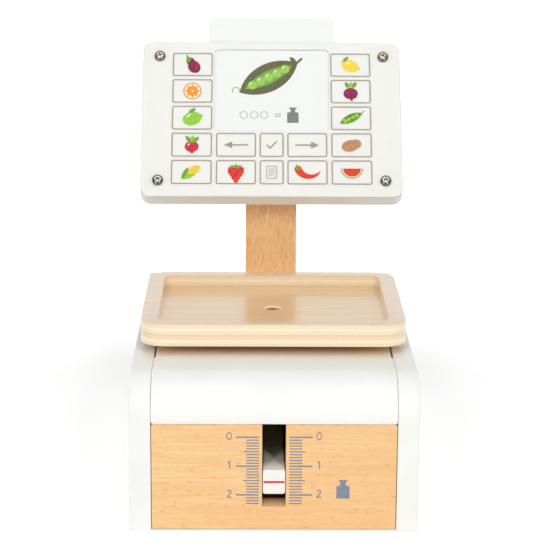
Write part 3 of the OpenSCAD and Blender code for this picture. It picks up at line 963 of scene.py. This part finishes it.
class TOYSCALE_OT_side_panels(ToyScaleStep, Operator):
    """Builds the two painted side panels with their curved upper fronts"""

    bl_idname = "toy_scale.side_panels"
    bl_label = "Side panels"

    def build(self, context, sizes):
        for node in ("left_side_panel", "right_side_panel"):
            low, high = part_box(node)
            radius = curve_radius()
            bm = bmesh.new()
            middle = (low.x, low.y + radius, high.z - radius)
            first, last = arc(bm, (low.x, low.y, middle[Z]), middle, -90, (1, 0, 0))
            rest = [bm.verts.new((low.x, y, z)) for y, z in
                    ((high.y, high.z), (high.y, low.z), (low.y, low.z))]
            for pair in zip([last] + rest, rest + [first]):
                bm.edges.new(pair)
            raise_faces(bm, capped(bm, bm.edges[:]), (high.x - low.x, 0, 0))
            round_edges(bm, sharp_edges(bm), sizes.paint_edge)
            mark_faces(bm, lambda spot, normal: spot.x * normal.x < 0 and abs(normal.x) > FACING)
            name = node.replace("panel", "board")
            add_piece(context, name, bm, "housing", PAINTED_BOARD, [node])


def curve_radius():
    """Radius of the side panels' upper front, from where their flat tops start."""
    low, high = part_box("left_side_panel")
    verts = frame["nodes"]["left_side_panel"].data.vertices
    return min(vert.co.y for vert in verts if high.z - vert.co.z < TOUCH) - low.y


class TOYSCALE_OT_front_panel(ToyScaleStep, Operator):
    """Builds the beech front panel with the pointer's slot"""

    bl_idname = "toy_scale.front_panel"
    bl_label = "Front panel"

    def build(self, context, sizes):
        low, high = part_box("front_panel")
        slot_half, slot_floor = slot_size()
        bm = bmesh.new()
        closed_path(bm, [(x, low.y, z) for x, z in (
            (low.x, low.z), (high.x, low.z), (high.x, high.z), (slot_half, high.z),
            (slot_half, slot_floor), (-slot_half, slot_floor), (-slot_half, high.z), (low.x, high.z))])
        raise_faces(bm, filled(bm, bm.edges[:]), (0, high.y - low.y, 0))
        corners = [edge for edge in sharp_edges(bm) if run(edge, Y) > TOUCH
                   and abs(abs(edge.verts[0].co.x) - high.x) < TOUCH]
        round_edges(bm, corners, sizes.board_corner)
        round_edges(bm, sharp_edges(bm, Y, low.y), sizes.beech_edge)
        add_piece(context, "beech_front", bm, "housing", ["lacquered_beech"], ["front_panel"])


def slot_size():
    """Half the width of the pointer's slot and the level of its floor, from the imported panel."""
    low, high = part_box("front_panel")
    inner = [vert.co for vert in frame["nodes"]["front_panel"].data.vertices
             if abs(vert.co.x) < high.x / 2 and vert.co.z > low.z + TOUCH]
    return max(point.x for point in inner), min(point.z for point in inner)


class TOYSCALE_OT_cover(ToyScaleStep, Operator):
    """Builds the curved front cover"""

    bl_idname = "toy_scale.cover"
    bl_label = "Front cover"

    def build(self, context, sizes):
        low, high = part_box("front_cover")
        radius, wall = curve_radius(), sizes.cover_thickness
        middle = (low.x, low.y + radius, high.z - radius)
        bm = bmesh.new()
        outer = arc(bm, (low.x, low.y, middle[Z]), middle, -90, (1, 0, 0))
        inner = arc(bm, (low.x, middle[Y], high.z - wall), middle, 90, (1, 0, 0))
        rear = [bm.verts.new((low.x, high.y, level)) for level in (high.z, high.z - wall)]
        foot = [bm.verts.new((low.x, depth, low.z)) for depth in (low.y + wall, low.y)]
        for pair in zip([outer[1], *rear, inner[1], *foot], [*rear, inner[0], *foot, outer[0]]):
            bm.edges.new(pair)
        raise_faces(bm, capped(bm, bm.edges[:]), (high.x - low.x, 0, 0))
        feet = [edge for edge in sharp_edges(bm, Z, low.z) if run(edge, X) < TOUCH]
        round_edges(bm, feet, sizes.board_corner)
        round_edges(bm, sharp_edges(bm), sizes.paint_edge / 2)
        mark_faces(bm, lambda spot, normal: (normal.y > LEANING or normal.z < -LEANING)
                   and spot.y < high.y - TOUCH and spot.z > low.z + sizes.paint_edge)
        add_piece(context, "curved_cover", bm, "housing", PAINTED_BOARD, ["front_cover"])


class TOYSCALE_OT_top_and_back(ToyScaleStep, Operator):
    """Builds the plywood top board and the painted back panel, with their openings"""

    bl_idname = "toy_scale.top_and_back"
    bl_label = "Top board and back panel"

    def build(self, context, sizes):
        low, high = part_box("top_board")
        stem_low, stem_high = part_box("tray_stem")
        post_low, post_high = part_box("display_post")
        middle = (stem_low + stem_high) / 2
        notch, notch_front = post_high.x + POST_GAP, post_low.y - POST_GAP
        bm = bmesh.new()
        closed_path(bm, [(x, y, low.z) for x, y in (
            (low.x, low.y), (high.x, low.y), (high.x, high.y), (notch, high.y), (notch, notch_front),
            (-notch, notch_front), (-notch, high.y), (low.x, high.y))])
        round_path(bm, (0, middle.y, low.z), stem_high.x + STEM_GAP)
        raise_faces(bm, filled(bm, bm.edges[:]), (0, 0, high.z - low.z))
        round_edges(bm, sharp_edges(bm, Z, high.z), sizes.beech_edge)
        add_piece(context, "plywood_top", bm, "housing", ["pale_plywood"],
                  ["top_board"])

        axes = upright_axes("back_panel")
        low, high = span("back_panel", axes)
        bm = bmesh.new()
        closed_path(bm, [(x, y, low.z) for x, y in
                         ((low.x, low.y), (high.x, low.y), (high.x, high.y), (low.x, high.y))])
        for place in post_screw_places(sizes):
            round_path(bm, (0, place.z, low.z), sizes.flat_head / 2 + SCREW_GAP)
        raise_faces(bm, filled(bm, bm.edges[:]), (0, 0, high.z - low.z))
        edges = [edge for edge in sharp_edges(bm)
                 if max(abs(vert.co.x) for vert in edge.verts) > high.x - TOUCH
                 or min(vert.co.y for vert in edge.verts) > high.y - TOUCH]
        round_edges(bm, edges, sizes.paint_edge / 2)
        mark_faces(bm, lambda spot, normal: normal.z > FACING)
        add_piece(context, "painted_back", bm, "housing", PAINTED_BOARD,
                  ["back_panel"], axes)


def post_screw_places(sizes):
    """Middles of the two screw heads on the back panel."""
    low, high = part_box("post_screws")
    half = sizes.flat_head / 2
    return [Vector((0, high.y, level)) for level in (low.z + half, high.z - half)]


class TOYSCALE_OT_tray(ToyScaleStep, Operator):
    """Builds the plywood tray with its routed recess"""

    bl_idname = "toy_scale.tray"
    bl_label = "Tray"

    def build(self, context, sizes):
        low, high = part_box("weighing_tray")
        middle = (low + high) / 2
        floor = high.z - sizes.tray_recess
        rim = Vector((sizes.tray_rim, sizes.tray_rim, 0))
        bm = bmesh.new()
        outer = rounded_path(bm, low, high, sizes.tray_corner, high.z)
        inner = rounded_path(bm, low + rim, high - rim, sizes.recess_corner, high.z)
        bmesh.ops.bridge_loops(bm, edges=outer + inner)
        foot = raise_edges(bm, outer, (0, 0, low.z - high.z))
        wall = raise_edges(bm, inner, (0, 0, floor - high.z))
        sink_radius = sizes.flat_head / 2 + SCREW_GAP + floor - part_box("tray_screw")[1].z
        neck_radius = sizes.shank / 2 + SCREW_GAP
        taper = sink_radius - neck_radius
        sink = round_path(bm, (middle.x, middle.y, floor), sink_radius)
        filled(bm, wall + sink)
        neck = raise_edges(bm, sink, (0, 0, -taper), neck_radius / sink_radius, middle)
        bore = raise_edges(bm, neck, (0, 0, low.z - floor + taper))
        filled(bm, foot + bore)
        rims = [edge for level in (low.z, high.z) for edge in sharp_edges(bm, Z, level)
                if is_outside(edge, low, high, sizes.tray_corner)]
        round_edges(bm, rims, sizes.tray_edge, EDGE_STEPS + 1)
        round_edges(bm, sharp_edges(bm, Z, high.z), sizes.recess_edge, EDGE_STEPS - 1)
        base = [edge for edge in sharp_edges(bm, Z, floor)
                if (edge.verts[0].co - middle).to_2d().length > 2 * sink_radius]
        round_edges(bm, base, sizes.recess_fillet, EDGE_STEPS - 1)
        add_piece(context, "plywood_tray", bm, "tray_unit", ["tray_plywood"],
                  ["weighing_tray"])


def is_outside(edge, low, high, reach):
    """Whether an edge lies near the sides of a box."""
    return any(min((*(vert.co - low).xy, *(high - vert.co).xy)) < reach / 2 for vert in edge.verts)


class TOYSCALE_OT_pointer(ToyScaleStep, Operator):
    """Builds the pointer arm and the red line on its front"""

    bl_idname = "toy_scale.pointer"
    bl_label = "Pointer"

    def build(self, context, sizes):
        axes = upright_axes("pointer_arm")
        low, high = span("pointer_arm", axes)
        bm = bmesh.new()
        plate(bm, low, high, sizes.pointer_edge)
        round_edges(bm, sharp_edges(bm, Z, high.z), sizes.pointer_edge / 4)
        add_piece(context, "painted_pointer", bm, "tray_unit", ["painted_white"],
                  ["pointer_arm"], axes)
        pen = Print("red")
        level = (low.y + high.y) / 2 / MM
        reach = (high.x - sizes.pointer_edge / 4) / MM
        pen.bar("red", (-reach, level), (reach, level), sizes.pointer_line / MM)
        add_piece(context, "pointer_line", pen.bm, "tray_unit", pen.inks, axes=axes)


class TOYSCALE_OT_post(ToyScaleStep, Operator):
    """Builds the beech post, cut to the slope of the display"""

    bl_idname = "toy_scale.post"
    bl_label = "Post"

    def build(self, context, sizes):
        low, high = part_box("display_post")
        slope = slope_axes().col[Y]
        front_top = high.z - (high.y - low.y) * slope.z / slope.y
        bm = bmesh.new()
        closed_path(bm, [(low.x, y, z) for y, z in
                         ((low.y, low.z), (high.y, low.z), (high.y, high.z), (low.y, front_top))])
        raise_faces(bm, capped(bm, bm.edges[:]), (high.x - low.x, 0, 0))
        upright = [edge for edge in sharp_edges(bm)
                   if (edge.verts[0].co - edge.verts[1].co).to_2d().length < TOUCH]
        round_edges(bm, upright, sizes.post_edge)
        add_piece(context, "beech_post", bm, "housing", ["lacquered_post"],
                  ["display_post"])


class TOYSCALE_OT_display(ToyScaleStep, Operator):
    """Builds the display's board with the card's pocket, its front sheet and the clear window"""

    bl_idname = "toy_scale.display"
    bl_label = "Display"

    def build(self, context, sizes):
        axes = display_axes()
        self.build_board(context, sizes, axes)
        low, high = span("front_sheet", axes)
        pane_low, pane_high = span("window_pane", axes)
        gap = Vector((PANE_GAP, PANE_GAP, 0))
        bm = bmesh.new()
        edges = rounded_path(bm, low, high, sizes.display_corner, low.z)
        edges += rounded_path(bm, pane_low - gap, pane_high + gap, sizes.window_corner, low.z)
        raise_faces(bm, bmesh.ops.bridge_loops(bm, edges=edges)["faces"], (0, 0, high.z - low.z))
        rims = [edge for edge in sharp_edges(bm, Z, high.z)
                if is_outside(edge, low, high, sizes.display_corner)]
        round_edges(bm, rims, sizes.sheet_edge, EDGE_STEPS + 2)
        round_edges(bm, sharp_edges(bm, Z, high.z), sizes.window_edge)
        add_piece(context, "printed_front", bm, "housing", ["printed_sheet"],
                  ["front_sheet"], axes)
        bm = bmesh.new()
        plate(bm, pane_low, pane_high, sizes.window_corner)
        add_piece(context, "window", bm, "housing", ["clear_pane"], ["window_pane"], axes)

    def build_board(self, context, sizes, axes):
        """Builds the board from its pocket's level: forward round the pocket, and back to its rear."""
        low, high = span("display_board", axes)
        card_low, card_high = span("picture_card", axes)
        level = card_low.z - CARD_GAP
        bm = bmesh.new()
        capped(bm, rounded_path(bm, low, high, sizes.display_corner, level))
        for place, normal in (((card_low.x - CARD_GAP, 0, 0), (1, 0, 0)),
                              ((card_high.x + CARD_GAP, 0, 0), (1, 0, 0)),
                              ((0, card_low.y - CARD_GAP, 0), (0, 1, 0))):
            geom = bm.verts[:] + bm.edges[:] + bm.faces[:]
            bmesh.ops.bisect_plane(bm, geom=geom, plane_co=place, plane_no=normal, dist=TOUCH)
        round_pocket = [face for face in bm.faces if not is_inside(face, card_low, card_high)]
        raise_faces(bm, round_pocket, (0, 0, high.z - level))
        rim = [edge for edge in bm.edges if edge.is_boundary]
        filled(bm, raise_edges(bm, rim, (0, 0, low.z - level)))
        round_edges(bm, sharp_edges(bm, Z, low.z), sizes.board_edge)
        add_piece(context, "painted_board", bm, "housing", ["painted_white"],
                  ["display_board"], axes)


def is_inside(face, low, high):
    """Whether a face's middle lies between two corners across, and above the lower one."""
    middle = face.calc_center_median()
    return low.x < middle.x < high.x and middle.y > low.y


class TOYSCALE_OT_card(ToyScaleStep, Operator):
    """Builds the picture card and its print"""

    bl_idname = "toy_scale.card"
    bl_label = "Picture card"

    def build(self, context, sizes):
        axes = display_axes()
        low, high = span("picture_card", axes)
        bm = bmesh.new()
        plate(bm, low, high, sizes.card_corner)
        round_edges(bm, sharp_edges(bm), (high.z - low.z) / 4, EDGE_STEPS - 1)
        add_piece(context, "white_card", bm, "card", ["picture_board"], ["picture_card"], axes)
        pen = Print("olive", "leaf", "lime", "cream", "grey")
        pen.move_to(*POD_PLACE)
        self.draw_pod(pen)
        pen.move_to(0, SIGNS_LEVEL)
        for place in RINGS_AT:
            pen.band("grey", (place, 0), 2.6, 0.35)
        for level in (-0.8, 0.8):
            pen.bar("grey", *((end, level) for end in EQUALS_ENDS), 0.5)
        pen.move_to(CARD_WEIGHT_AT, SIGNS_LEVEL)
        pen.weight("grey")
        add_piece(context, "card_print", pen.bm, "card", pen.inks,
                  axes=axes @ Matrix.Translation((0, 0, high.z)))

    def draw_pod(self, pen):
        """A large open pod with its peas."""
        pen.leaf("olive", (-20, -11), (20, 12), 21)
        pen.leaf("leaf", (-16.4, -8.6), (16.4, 10.0), 9.6)
        for step in range(-2, 3):
            x, y = step * 5.6, step * 3.1
            pen.disc("lime", x, y + 0.8, 6.4)
            pen.leaf("cream", (x - 2, y + 1.2), (x - 0.4, y + 3.0), 0.8)
        pen.bar("olive", (19, 11.4), (23, 15.4), 1.6)
        pen.leaf("olive", (19.2, 11.2), (14.6, 16.4), 3.0)
        pen.band("lime", (-22.4, -9.4), 2.4, 0.8, 330, 250)


class TOYSCALE_OT_screws(ToyScaleStep, Operator):
    """Builds the screws that show: four pan heads on the display, one in the tray and two in the back"""

    bl_idname = "toy_scale.screws"
    bl_label = "Screws"

    def build(self, context, sizes):
        axes = display_axes()
        low, high = span("display_screws", axes)
        head = sizes.pan_head
        bm = bmesh.new()
        for x in (low.x + head / 2, high.x - head / 2):
            for y in (low.y + head / 2, high.y - head / 2):
                turn = Matrix.Rotation(PAN_CROSS_TURN * (x + y), 4, "Z")
                place = Matrix.Translation((x, y, 0))
                pan_screw(bm, head, high.z, -low.z, sizes.shank, place @ turn)
        add_piece(context, "pan_screws", bm, "housing", ["plated_steel"],
                  ["display_screws"], axes)

        low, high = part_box("tray_screw")
        middle = (low + high) / 2
        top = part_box("weighing_tray")[1].z - sizes.tray_recess - sizes.tray_head_sunk
        bm = bmesh.new()
        turn = Matrix.Rotation(math.radians(TRAY_CROSS_TURN), 4, "Z")
        place = Matrix.Translation((middle.x, middle.y, top))
        flat_screw(bm, sizes.tray_head, top - low.z, sizes.shank, place @ turn)
        add_piece(context, "tray_centre_screw", bm, "tray_unit", ["worn_steel"],
                  ["tray_screw"])

        low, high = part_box("post_screws")
        bm = bmesh.new()
        for middle in post_screw_places(sizes):
            turn = Matrix.Rotation(math.radians(-90), 4, "X") @ Matrix.Rotation(middle.z / MM, 4, "Z")
            place = Matrix.Translation(middle)
            flat_screw(bm, sizes.flat_head, high.y - low.y, sizes.shank, place @ turn)
        add_piece(context, "back_screws", bm, "housing", ["plated_steel"],
                  ["post_screws"])


def cross_head(bm, rim, radius, level, deep):
    """Closes the flat top of a screw, inside a circle of edges, with a cross recess."""
    old = set(bm.faces)
    span_share, floor_share = 0.78, 0.6
    bmesh.ops.create_grid(bm, x_segments=3, y_segments=3, size=radius * span_share,
                          matrix=Matrix.Translation((0, 0, level)))
    corners = [face for face in newer(bm.faces, old)
               if min(abs(part) for part in face.calc_center_median().xy) > radius / 4]
    bmesh.ops.delete(bm, geom=corners, context="FACES")
    cross = newer(bm.faces, old)
    outline = [edge for face in cross for edge in face.edges if edge.is_boundary]
    filled(bm, rim + outline)
    floor = raise_faces(bm, cross, (0, 0, -deep))
    bmesh.ops.scale(bm, vec=(floor_share, floor_share, 1), verts=corners_of(floor))


def turned_screw(bm, profile, plateau, level, deep, place):
    """Turns a screw's profile, closes its top with a cross recess and puts it in its place."""
    screw = bmesh.new()
    lathe(screw, profile)
    rim = [edge for edge in screw.edges if edge.is_boundary]
    cross_head(screw, rim, plateau, level, deep)
    screw.transform(place)
    made = bpy.data.meshes.new("screw")
    screw.to_mesh(made)
    screw.free()
    bm.from_mesh(made)
    bpy.data.meshes.remove(made)


def pan_screw(bm, head, high, deep, shank, place):
    """A pan-head screw that stands on z = 0, with a domed head and its shank below."""
    half, flat_share, wall_share, cross_share = head / 2, 0.58, 0.4, 0.7
    quarter = [math.radians(90 * step / CORNER_STEPS) for step in range(CORNER_STEPS + 1)]
    dome = [(half * (flat_share + (1 - flat_share) * math.sin(turn)),
             high * (wall_share + (1 - wall_share) * math.cos(turn))) for turn in quarter]
    profile = dome + [(half, 0), (shank / 2, 0), (shank / 2, shank - deep), (0, -deep)]
    turned_screw(bm, profile, half * flat_share, high, high * cross_share, place)


def flat_screw(bm, head, deep, shank, place):
    """A countersunk screw with its flat top at z = 0 and its shank below."""
    half, flat_share, land_share = head / 2, 0.62, 0.96
    profile = [(half * flat_share, 0), (half * land_share, 0), (half, -head / 30),
               (shank / 2, -head / 3), (shank / 2, shank - deep), (0, -deep)]
    turned_screw(bm, profile, half * flat_share, 0.0, head / 4, place)


class TOYSCALE_OT_marks(ToyScaleStep, Operator):
    """Prints the scale beside the slot, with its numerals and a plain weight"""

    bl_idname = "toy_scale.marks"
    bl_label = "Scale marks"

    def build(self, context, sizes):
        pen = Print("mark")
        for hand in (-1, 1):
            for step in range(TICK_COUNT):
                kind = "short" if step % HALF_TICKS else "middle" if step % UNIT_TICKS else "unit"
                level = ZERO_LEVEL - step * TICK_PITCH
                pen.move_to(0, level)
                pen.bar("mark", (hand * TICK_START, 0), (hand * TICK_ENDS[kind], 0),
                        UNIT_STROKE if kind == "unit" else TICK_STROKE)
                if kind == "unit":
                    pen.move_to(hand * NUMERAL_AT, level + NUMERAL_RISE)
                    pen.numeral("mark", step // UNIT_TICKS, NUMERAL_STROKE)
        pen.move_to(*WEIGHT_PLACE)
        pen.weight("mark")
        add_piece(context, "scale_marks", pen.bm, "housing", pen.inks,
                  axes=upright_axes("front_panel"))


class TOYSCALE_OT_keys(ToyScaleStep, Operator):
    """Prints the keys on the display: their outlines, signs and pictures"""

    bl_idname = "toy_scale.keys"
    bl_label = "Keys"

    def build(self, context, sizes):
        lines, signs = Print("key_line"), Print("key_line")
        pictures = Print(*PICTURE_INKS)
        levels = [((KEY_ROWS - 1) / 2 - row) * KEY_PITCH for row in range(KEY_ROWS)]
        for level, left, right in zip(levels, PICTURES["left"], PICTURES["right"]):
            for hand, draw in ((-1, left), (1, right)):
                self.key(lines, hand, OUTER_KEY, level)
                pictures.move_to(hand * OUTER_KEY["at"], level, PICTURE_SIZE)
                draw(pictures)
        for level in levels[-2:]:
            self.key(lines, 1, NARROW_KEY, level)
            for hand in (-1, 1):
                self.key(lines, hand, WIDE_KEY, level)
        for hand, draw in zip((-1, 1), PICTURES["middle"]):
            pictures.move_to(hand * WIDE_KEY["at"], levels[-1], PICTURE_SIZE)
            draw(pictures)
            signs.move_to(hand * WIDE_KEY["at"], levels[-2])
            arrow(signs, hand)
        signs.move_to(NARROW_KEY["at"], levels[-2])
        tick(signs)
        signs.move_to(NARROW_KEY["at"], levels[-1])
        written_list(signs)
        for name, pen in (("key_outlines", lines), ("key_signs", signs), ("key_pictures", pictures)):
            add_piece(context, name, pen.bm, "housing", pen.inks, axes=display_axes())

    def key(self, pen, hand, kind, level):
        """Draws a key's outline."""
        pen.move_to(hand * kind["at"], level)
        pen.outline("key_line", kind["wide"], KEY_HIGH, KEY_CORNER, KEY_STROKE)


class TOYSCALE_OT_inside(ToyScaleStep, Operator):
    """Gives the pieces inside the housing their finishes"""

    bl_idname = "toy_scale.inside"
    bl_label = "Inner pieces"

    finishes = {
        "bare_plywood": ("base_board",),
        "bare_hardwood": ("case_dowels", "stem_guide", "tray_stem", "spring_plate"),
        "plated_steel": ("guide_screws", "board_screws", "arm_screw"),
        "spring_wire": ("coil_spring",),
    }

    def build(self, context, sizes):
        for name, nodes in self.finishes.items():
            for node in nodes:
                for slot in frame["nodes"][node].material_slots:
                    slot.material = finish(name, context)


# Stage, in metres

FLOOR_SIZE = 14.0
FLOOR_TONE = (0.9, 0.9, 0.9, 1)
FLOOR_GLOW = {"near": 0.34, "far": 1.0, "start": 0.25, "end": 0.9}

# Light that the room gives, ahead and aside, and between which directions it goes over
SKY = {"ahead": 0.3, "aside": 0.9, "start": 0.4, "end": 0.8}
# What shiny faces show of the room, before and behind the scale
SHINE = {"before": 0.12, "behind": 1.0, "start": -0.4, "end": 0.1}

LAMPS = {
    "left": {"at": (-0.56, -1.69, 1.1), "wide": 0.15, "high": 0.8, "power": 8.1},
    "right": {"at": (0.7, -2.15, 1.35), "wide": 0.2, "high": 1.0, "power": 13.9},
    "high": {"at": (0.0, -0.82, 1.87), "wide": 0.8, "high": 0.5, "power": 6},
}
LAMPS_AIM = (0.0, 0.0, 0.12)

# Camera, with its turns in degrees
CAMERA_PLACE = (-0.01509, -1.24586, 0.42969)
CAMERA_YAW = 0.768
CAMERA_PITCH = 13.808
CAMERA_ROLL = 0.361
CAMERA_FOCAL_PIXELS = 2000
PHOTO_PIXELS = 550
SENSOR_WIDTH = 36.0


class TOYSCALE_OT_stage(ToyScaleStep, Operator):
    """Sets the floor, the light and the camera"""

    bl_idname = "toy_scale.stage"
    bl_label = "Stage"

    def build(self, context, sizes):
        scene = context.scene
        scene.view_settings.view_transform = "Standard"
        for each in scene.objects[:]:
            if each.type in {"LIGHT", "CAMERA"} or each.name == "Cube":
                bpy.data.objects.remove(each)
        self.build_floor(scene)
        self.build_light(scene)
        self.build_camera(scene)

    def build_floor(self, scene):
        """A pale floor that the camera sees as white, with the scale's shadow on it."""
        bm = bmesh.new()
        bmesh.ops.create_grid(bm, x_segments=1, y_segments=1, size=FLOOR_SIZE / 2)
        mesh = bpy.data.meshes.new("floor")
        bm.to_mesh(mesh)
        bm.free()
        floor = bpy.data.objects.new("floor", mesh)
        scene.collection.objects.link(floor)
        material, tree, shader = start_finish("floor", roughness=0.9)
        shader.inputs["Base Color"].default_value = FLOOR_TONE
        shader.inputs["Specular IOR Level"].default_value = 0.0
        shader.inputs["Emission Color"].default_value = (1, 1, 1, 1)
        inputs = {0: own_place(tree)}
        away = add_node(tree, "ShaderNodeVectorMath", inputs, operation="LENGTH").outputs["Value"]
        glow = remap(tree, away, *(FLOOR_GLOW[key] for key in ("start", "end", "near", "far")))
        shown = self.seen(tree, "Is Camera Ray", "Is Glossy Ray", "Is Transmission Ray")
        tree.links.new(worked_out(tree, "MULTIPLY", shown, glow), shader.inputs["Emission Strength"])
        mesh.materials.append(material)

    def seen(self, tree, *kinds):
        """1 for rays of the given kinds, and 0 for those that only give light."""
        path = add_node(tree, "ShaderNodeLightPath").outputs
        share = path[kinds[0]]
        for kind in kinds[1:]:
            share = worked_out(tree, "MAXIMUM", share, path[kind])
        return share

    def build_light(self, scene):
        """Two tall lamps before the scale, a wide one above it, and a white room round it."""
        for name, lamp in LAMPS.items():
            light = bpy.data.lights.new(name, "AREA")
            light.shape = "RECTANGLE"
            light.size, light.size_y = lamp["wide"], lamp["high"]
            light.energy = lamp["power"]
            holder = bpy.data.objects.new(name, light)
            holder.location = lamp["at"]
            way = Vector(LAMPS_AIM) - Vector(lamp["at"])
            holder.rotation_euler = way.to_track_quat("-Z", "Y").to_euler()
            scene.collection.objects.link(holder)
        world = bpy.data.worlds.new("room")
        world.use_nodes = True
        tree = world.node_tree
        room = tree.nodes["Background"]
        room.inputs["Color"].default_value = (1, 1, 1, 1)
        across, depth, _ = parts(tree, add_node(tree, "ShaderNodeTexCoord").outputs["Generated"])
        aside = worked_out(tree, "ABSOLUTE", across)
        sky = remap(tree, aside, *(SKY[key] for key in ("start", "end", "ahead", "aside")))
        shine = remap(tree, depth, *(SHINE[key] for key in ("start", "end", "before", "behind")))
        lit = remap(tree, self.seen(tree, "Is Glossy Ray"), 0, 1, sky, shine)
        shown = self.seen(tree, "Is Camera Ray", "Is Transmission Ray")
        tree.links.new(remap(tree, shown, 0, 1, lit, 1), room.inputs["Strength"])
        scene.world = world

    def build_camera(self, scene):
        """The camera, where the photograph was taken from."""
        data = bpy.data.cameras.new("camera")
        data.sensor_width = SENSOR_WIDTH
        data.lens = SENSOR_WIDTH * CAMERA_FOCAL_PIXELS / PHOTO_PIXELS
        camera = bpy.data.objects.new("camera", data)
        turns = ((-CAMERA_YAW, "Z"), (90 - CAMERA_PITCH, "X"), (CAMERA_ROLL, "Z"))
        matrix = Matrix.Translation(CAMERA_PLACE)
        for angle, axis in turns:
            matrix = matrix @ Matrix.Rotation(math.radians(angle), 4, axis)
        camera.matrix_world = matrix
        scene.collection.objects.link(camera)
        scene.camera = camera


STEPS = (
    TOYSCALE_OT_side_panels, TOYSCALE_OT_front_panel, TOYSCALE_OT_cover, TOYSCALE_OT_top_and_back,
    TOYSCALE_OT_tray, TOYSCALE_OT_pointer, TOYSCALE_OT_post, TOYSCALE_OT_display, TOYSCALE_OT_card,
    TOYSCALE_OT_screws, TOYSCALE_OT_marks, TOYSCALE_OT_keys, TOYSCALE_OT_inside, TOYSCALE_OT_stage)


class TOYSCALE_PT_steps(Panel):
    """Lists the steps, sizes and colours of the toy scale"""

    bl_label = "Toy Shop Scale"
    bl_space_type = "VIEW_3D"
    bl_region_type = "UI"
    bl_category = "Toy Scale"

    def draw(self, context):
        for step in STEPS:
            self.layout.operator(step.bl_idname)
        for group in (context.scene.toy_scale_sizes, context.scene.toy_scale_colours):
            column = self.layout.column()
            for name in group.__annotations__:
                column.prop(group, name)


CLASSES = (ToyScaleSizes, ToyScaleColours, *STEPS, TOYSCALE_PT_steps)


def register():
    """Makes the steps, the panel and the settings known."""
    for each in CLASSES:
        bpy.utils.register_class(each)
    bpy.types.Scene.toy_scale_sizes = PointerProperty(type=ToyScaleSizes)
    bpy.types.Scene.toy_scale_colours = PointerProperty(type=ToyScaleColours)


def unregister():
    """Takes the settings, the panel and the steps away again."""
    del bpy.types.Scene.toy_scale_colours
    del bpy.types.Scene.toy_scale_sizes
    for each in reversed(CLASSES):
        bpy.utils.unregister_class(each)


def main():
    """Runs every step in order."""
    register()
    for step in STEPS:
        group, name = step.bl_idname.split(".")
        getattr(getattr(bpy.ops, group), name)()


if __name__ == "__main__":
    main()
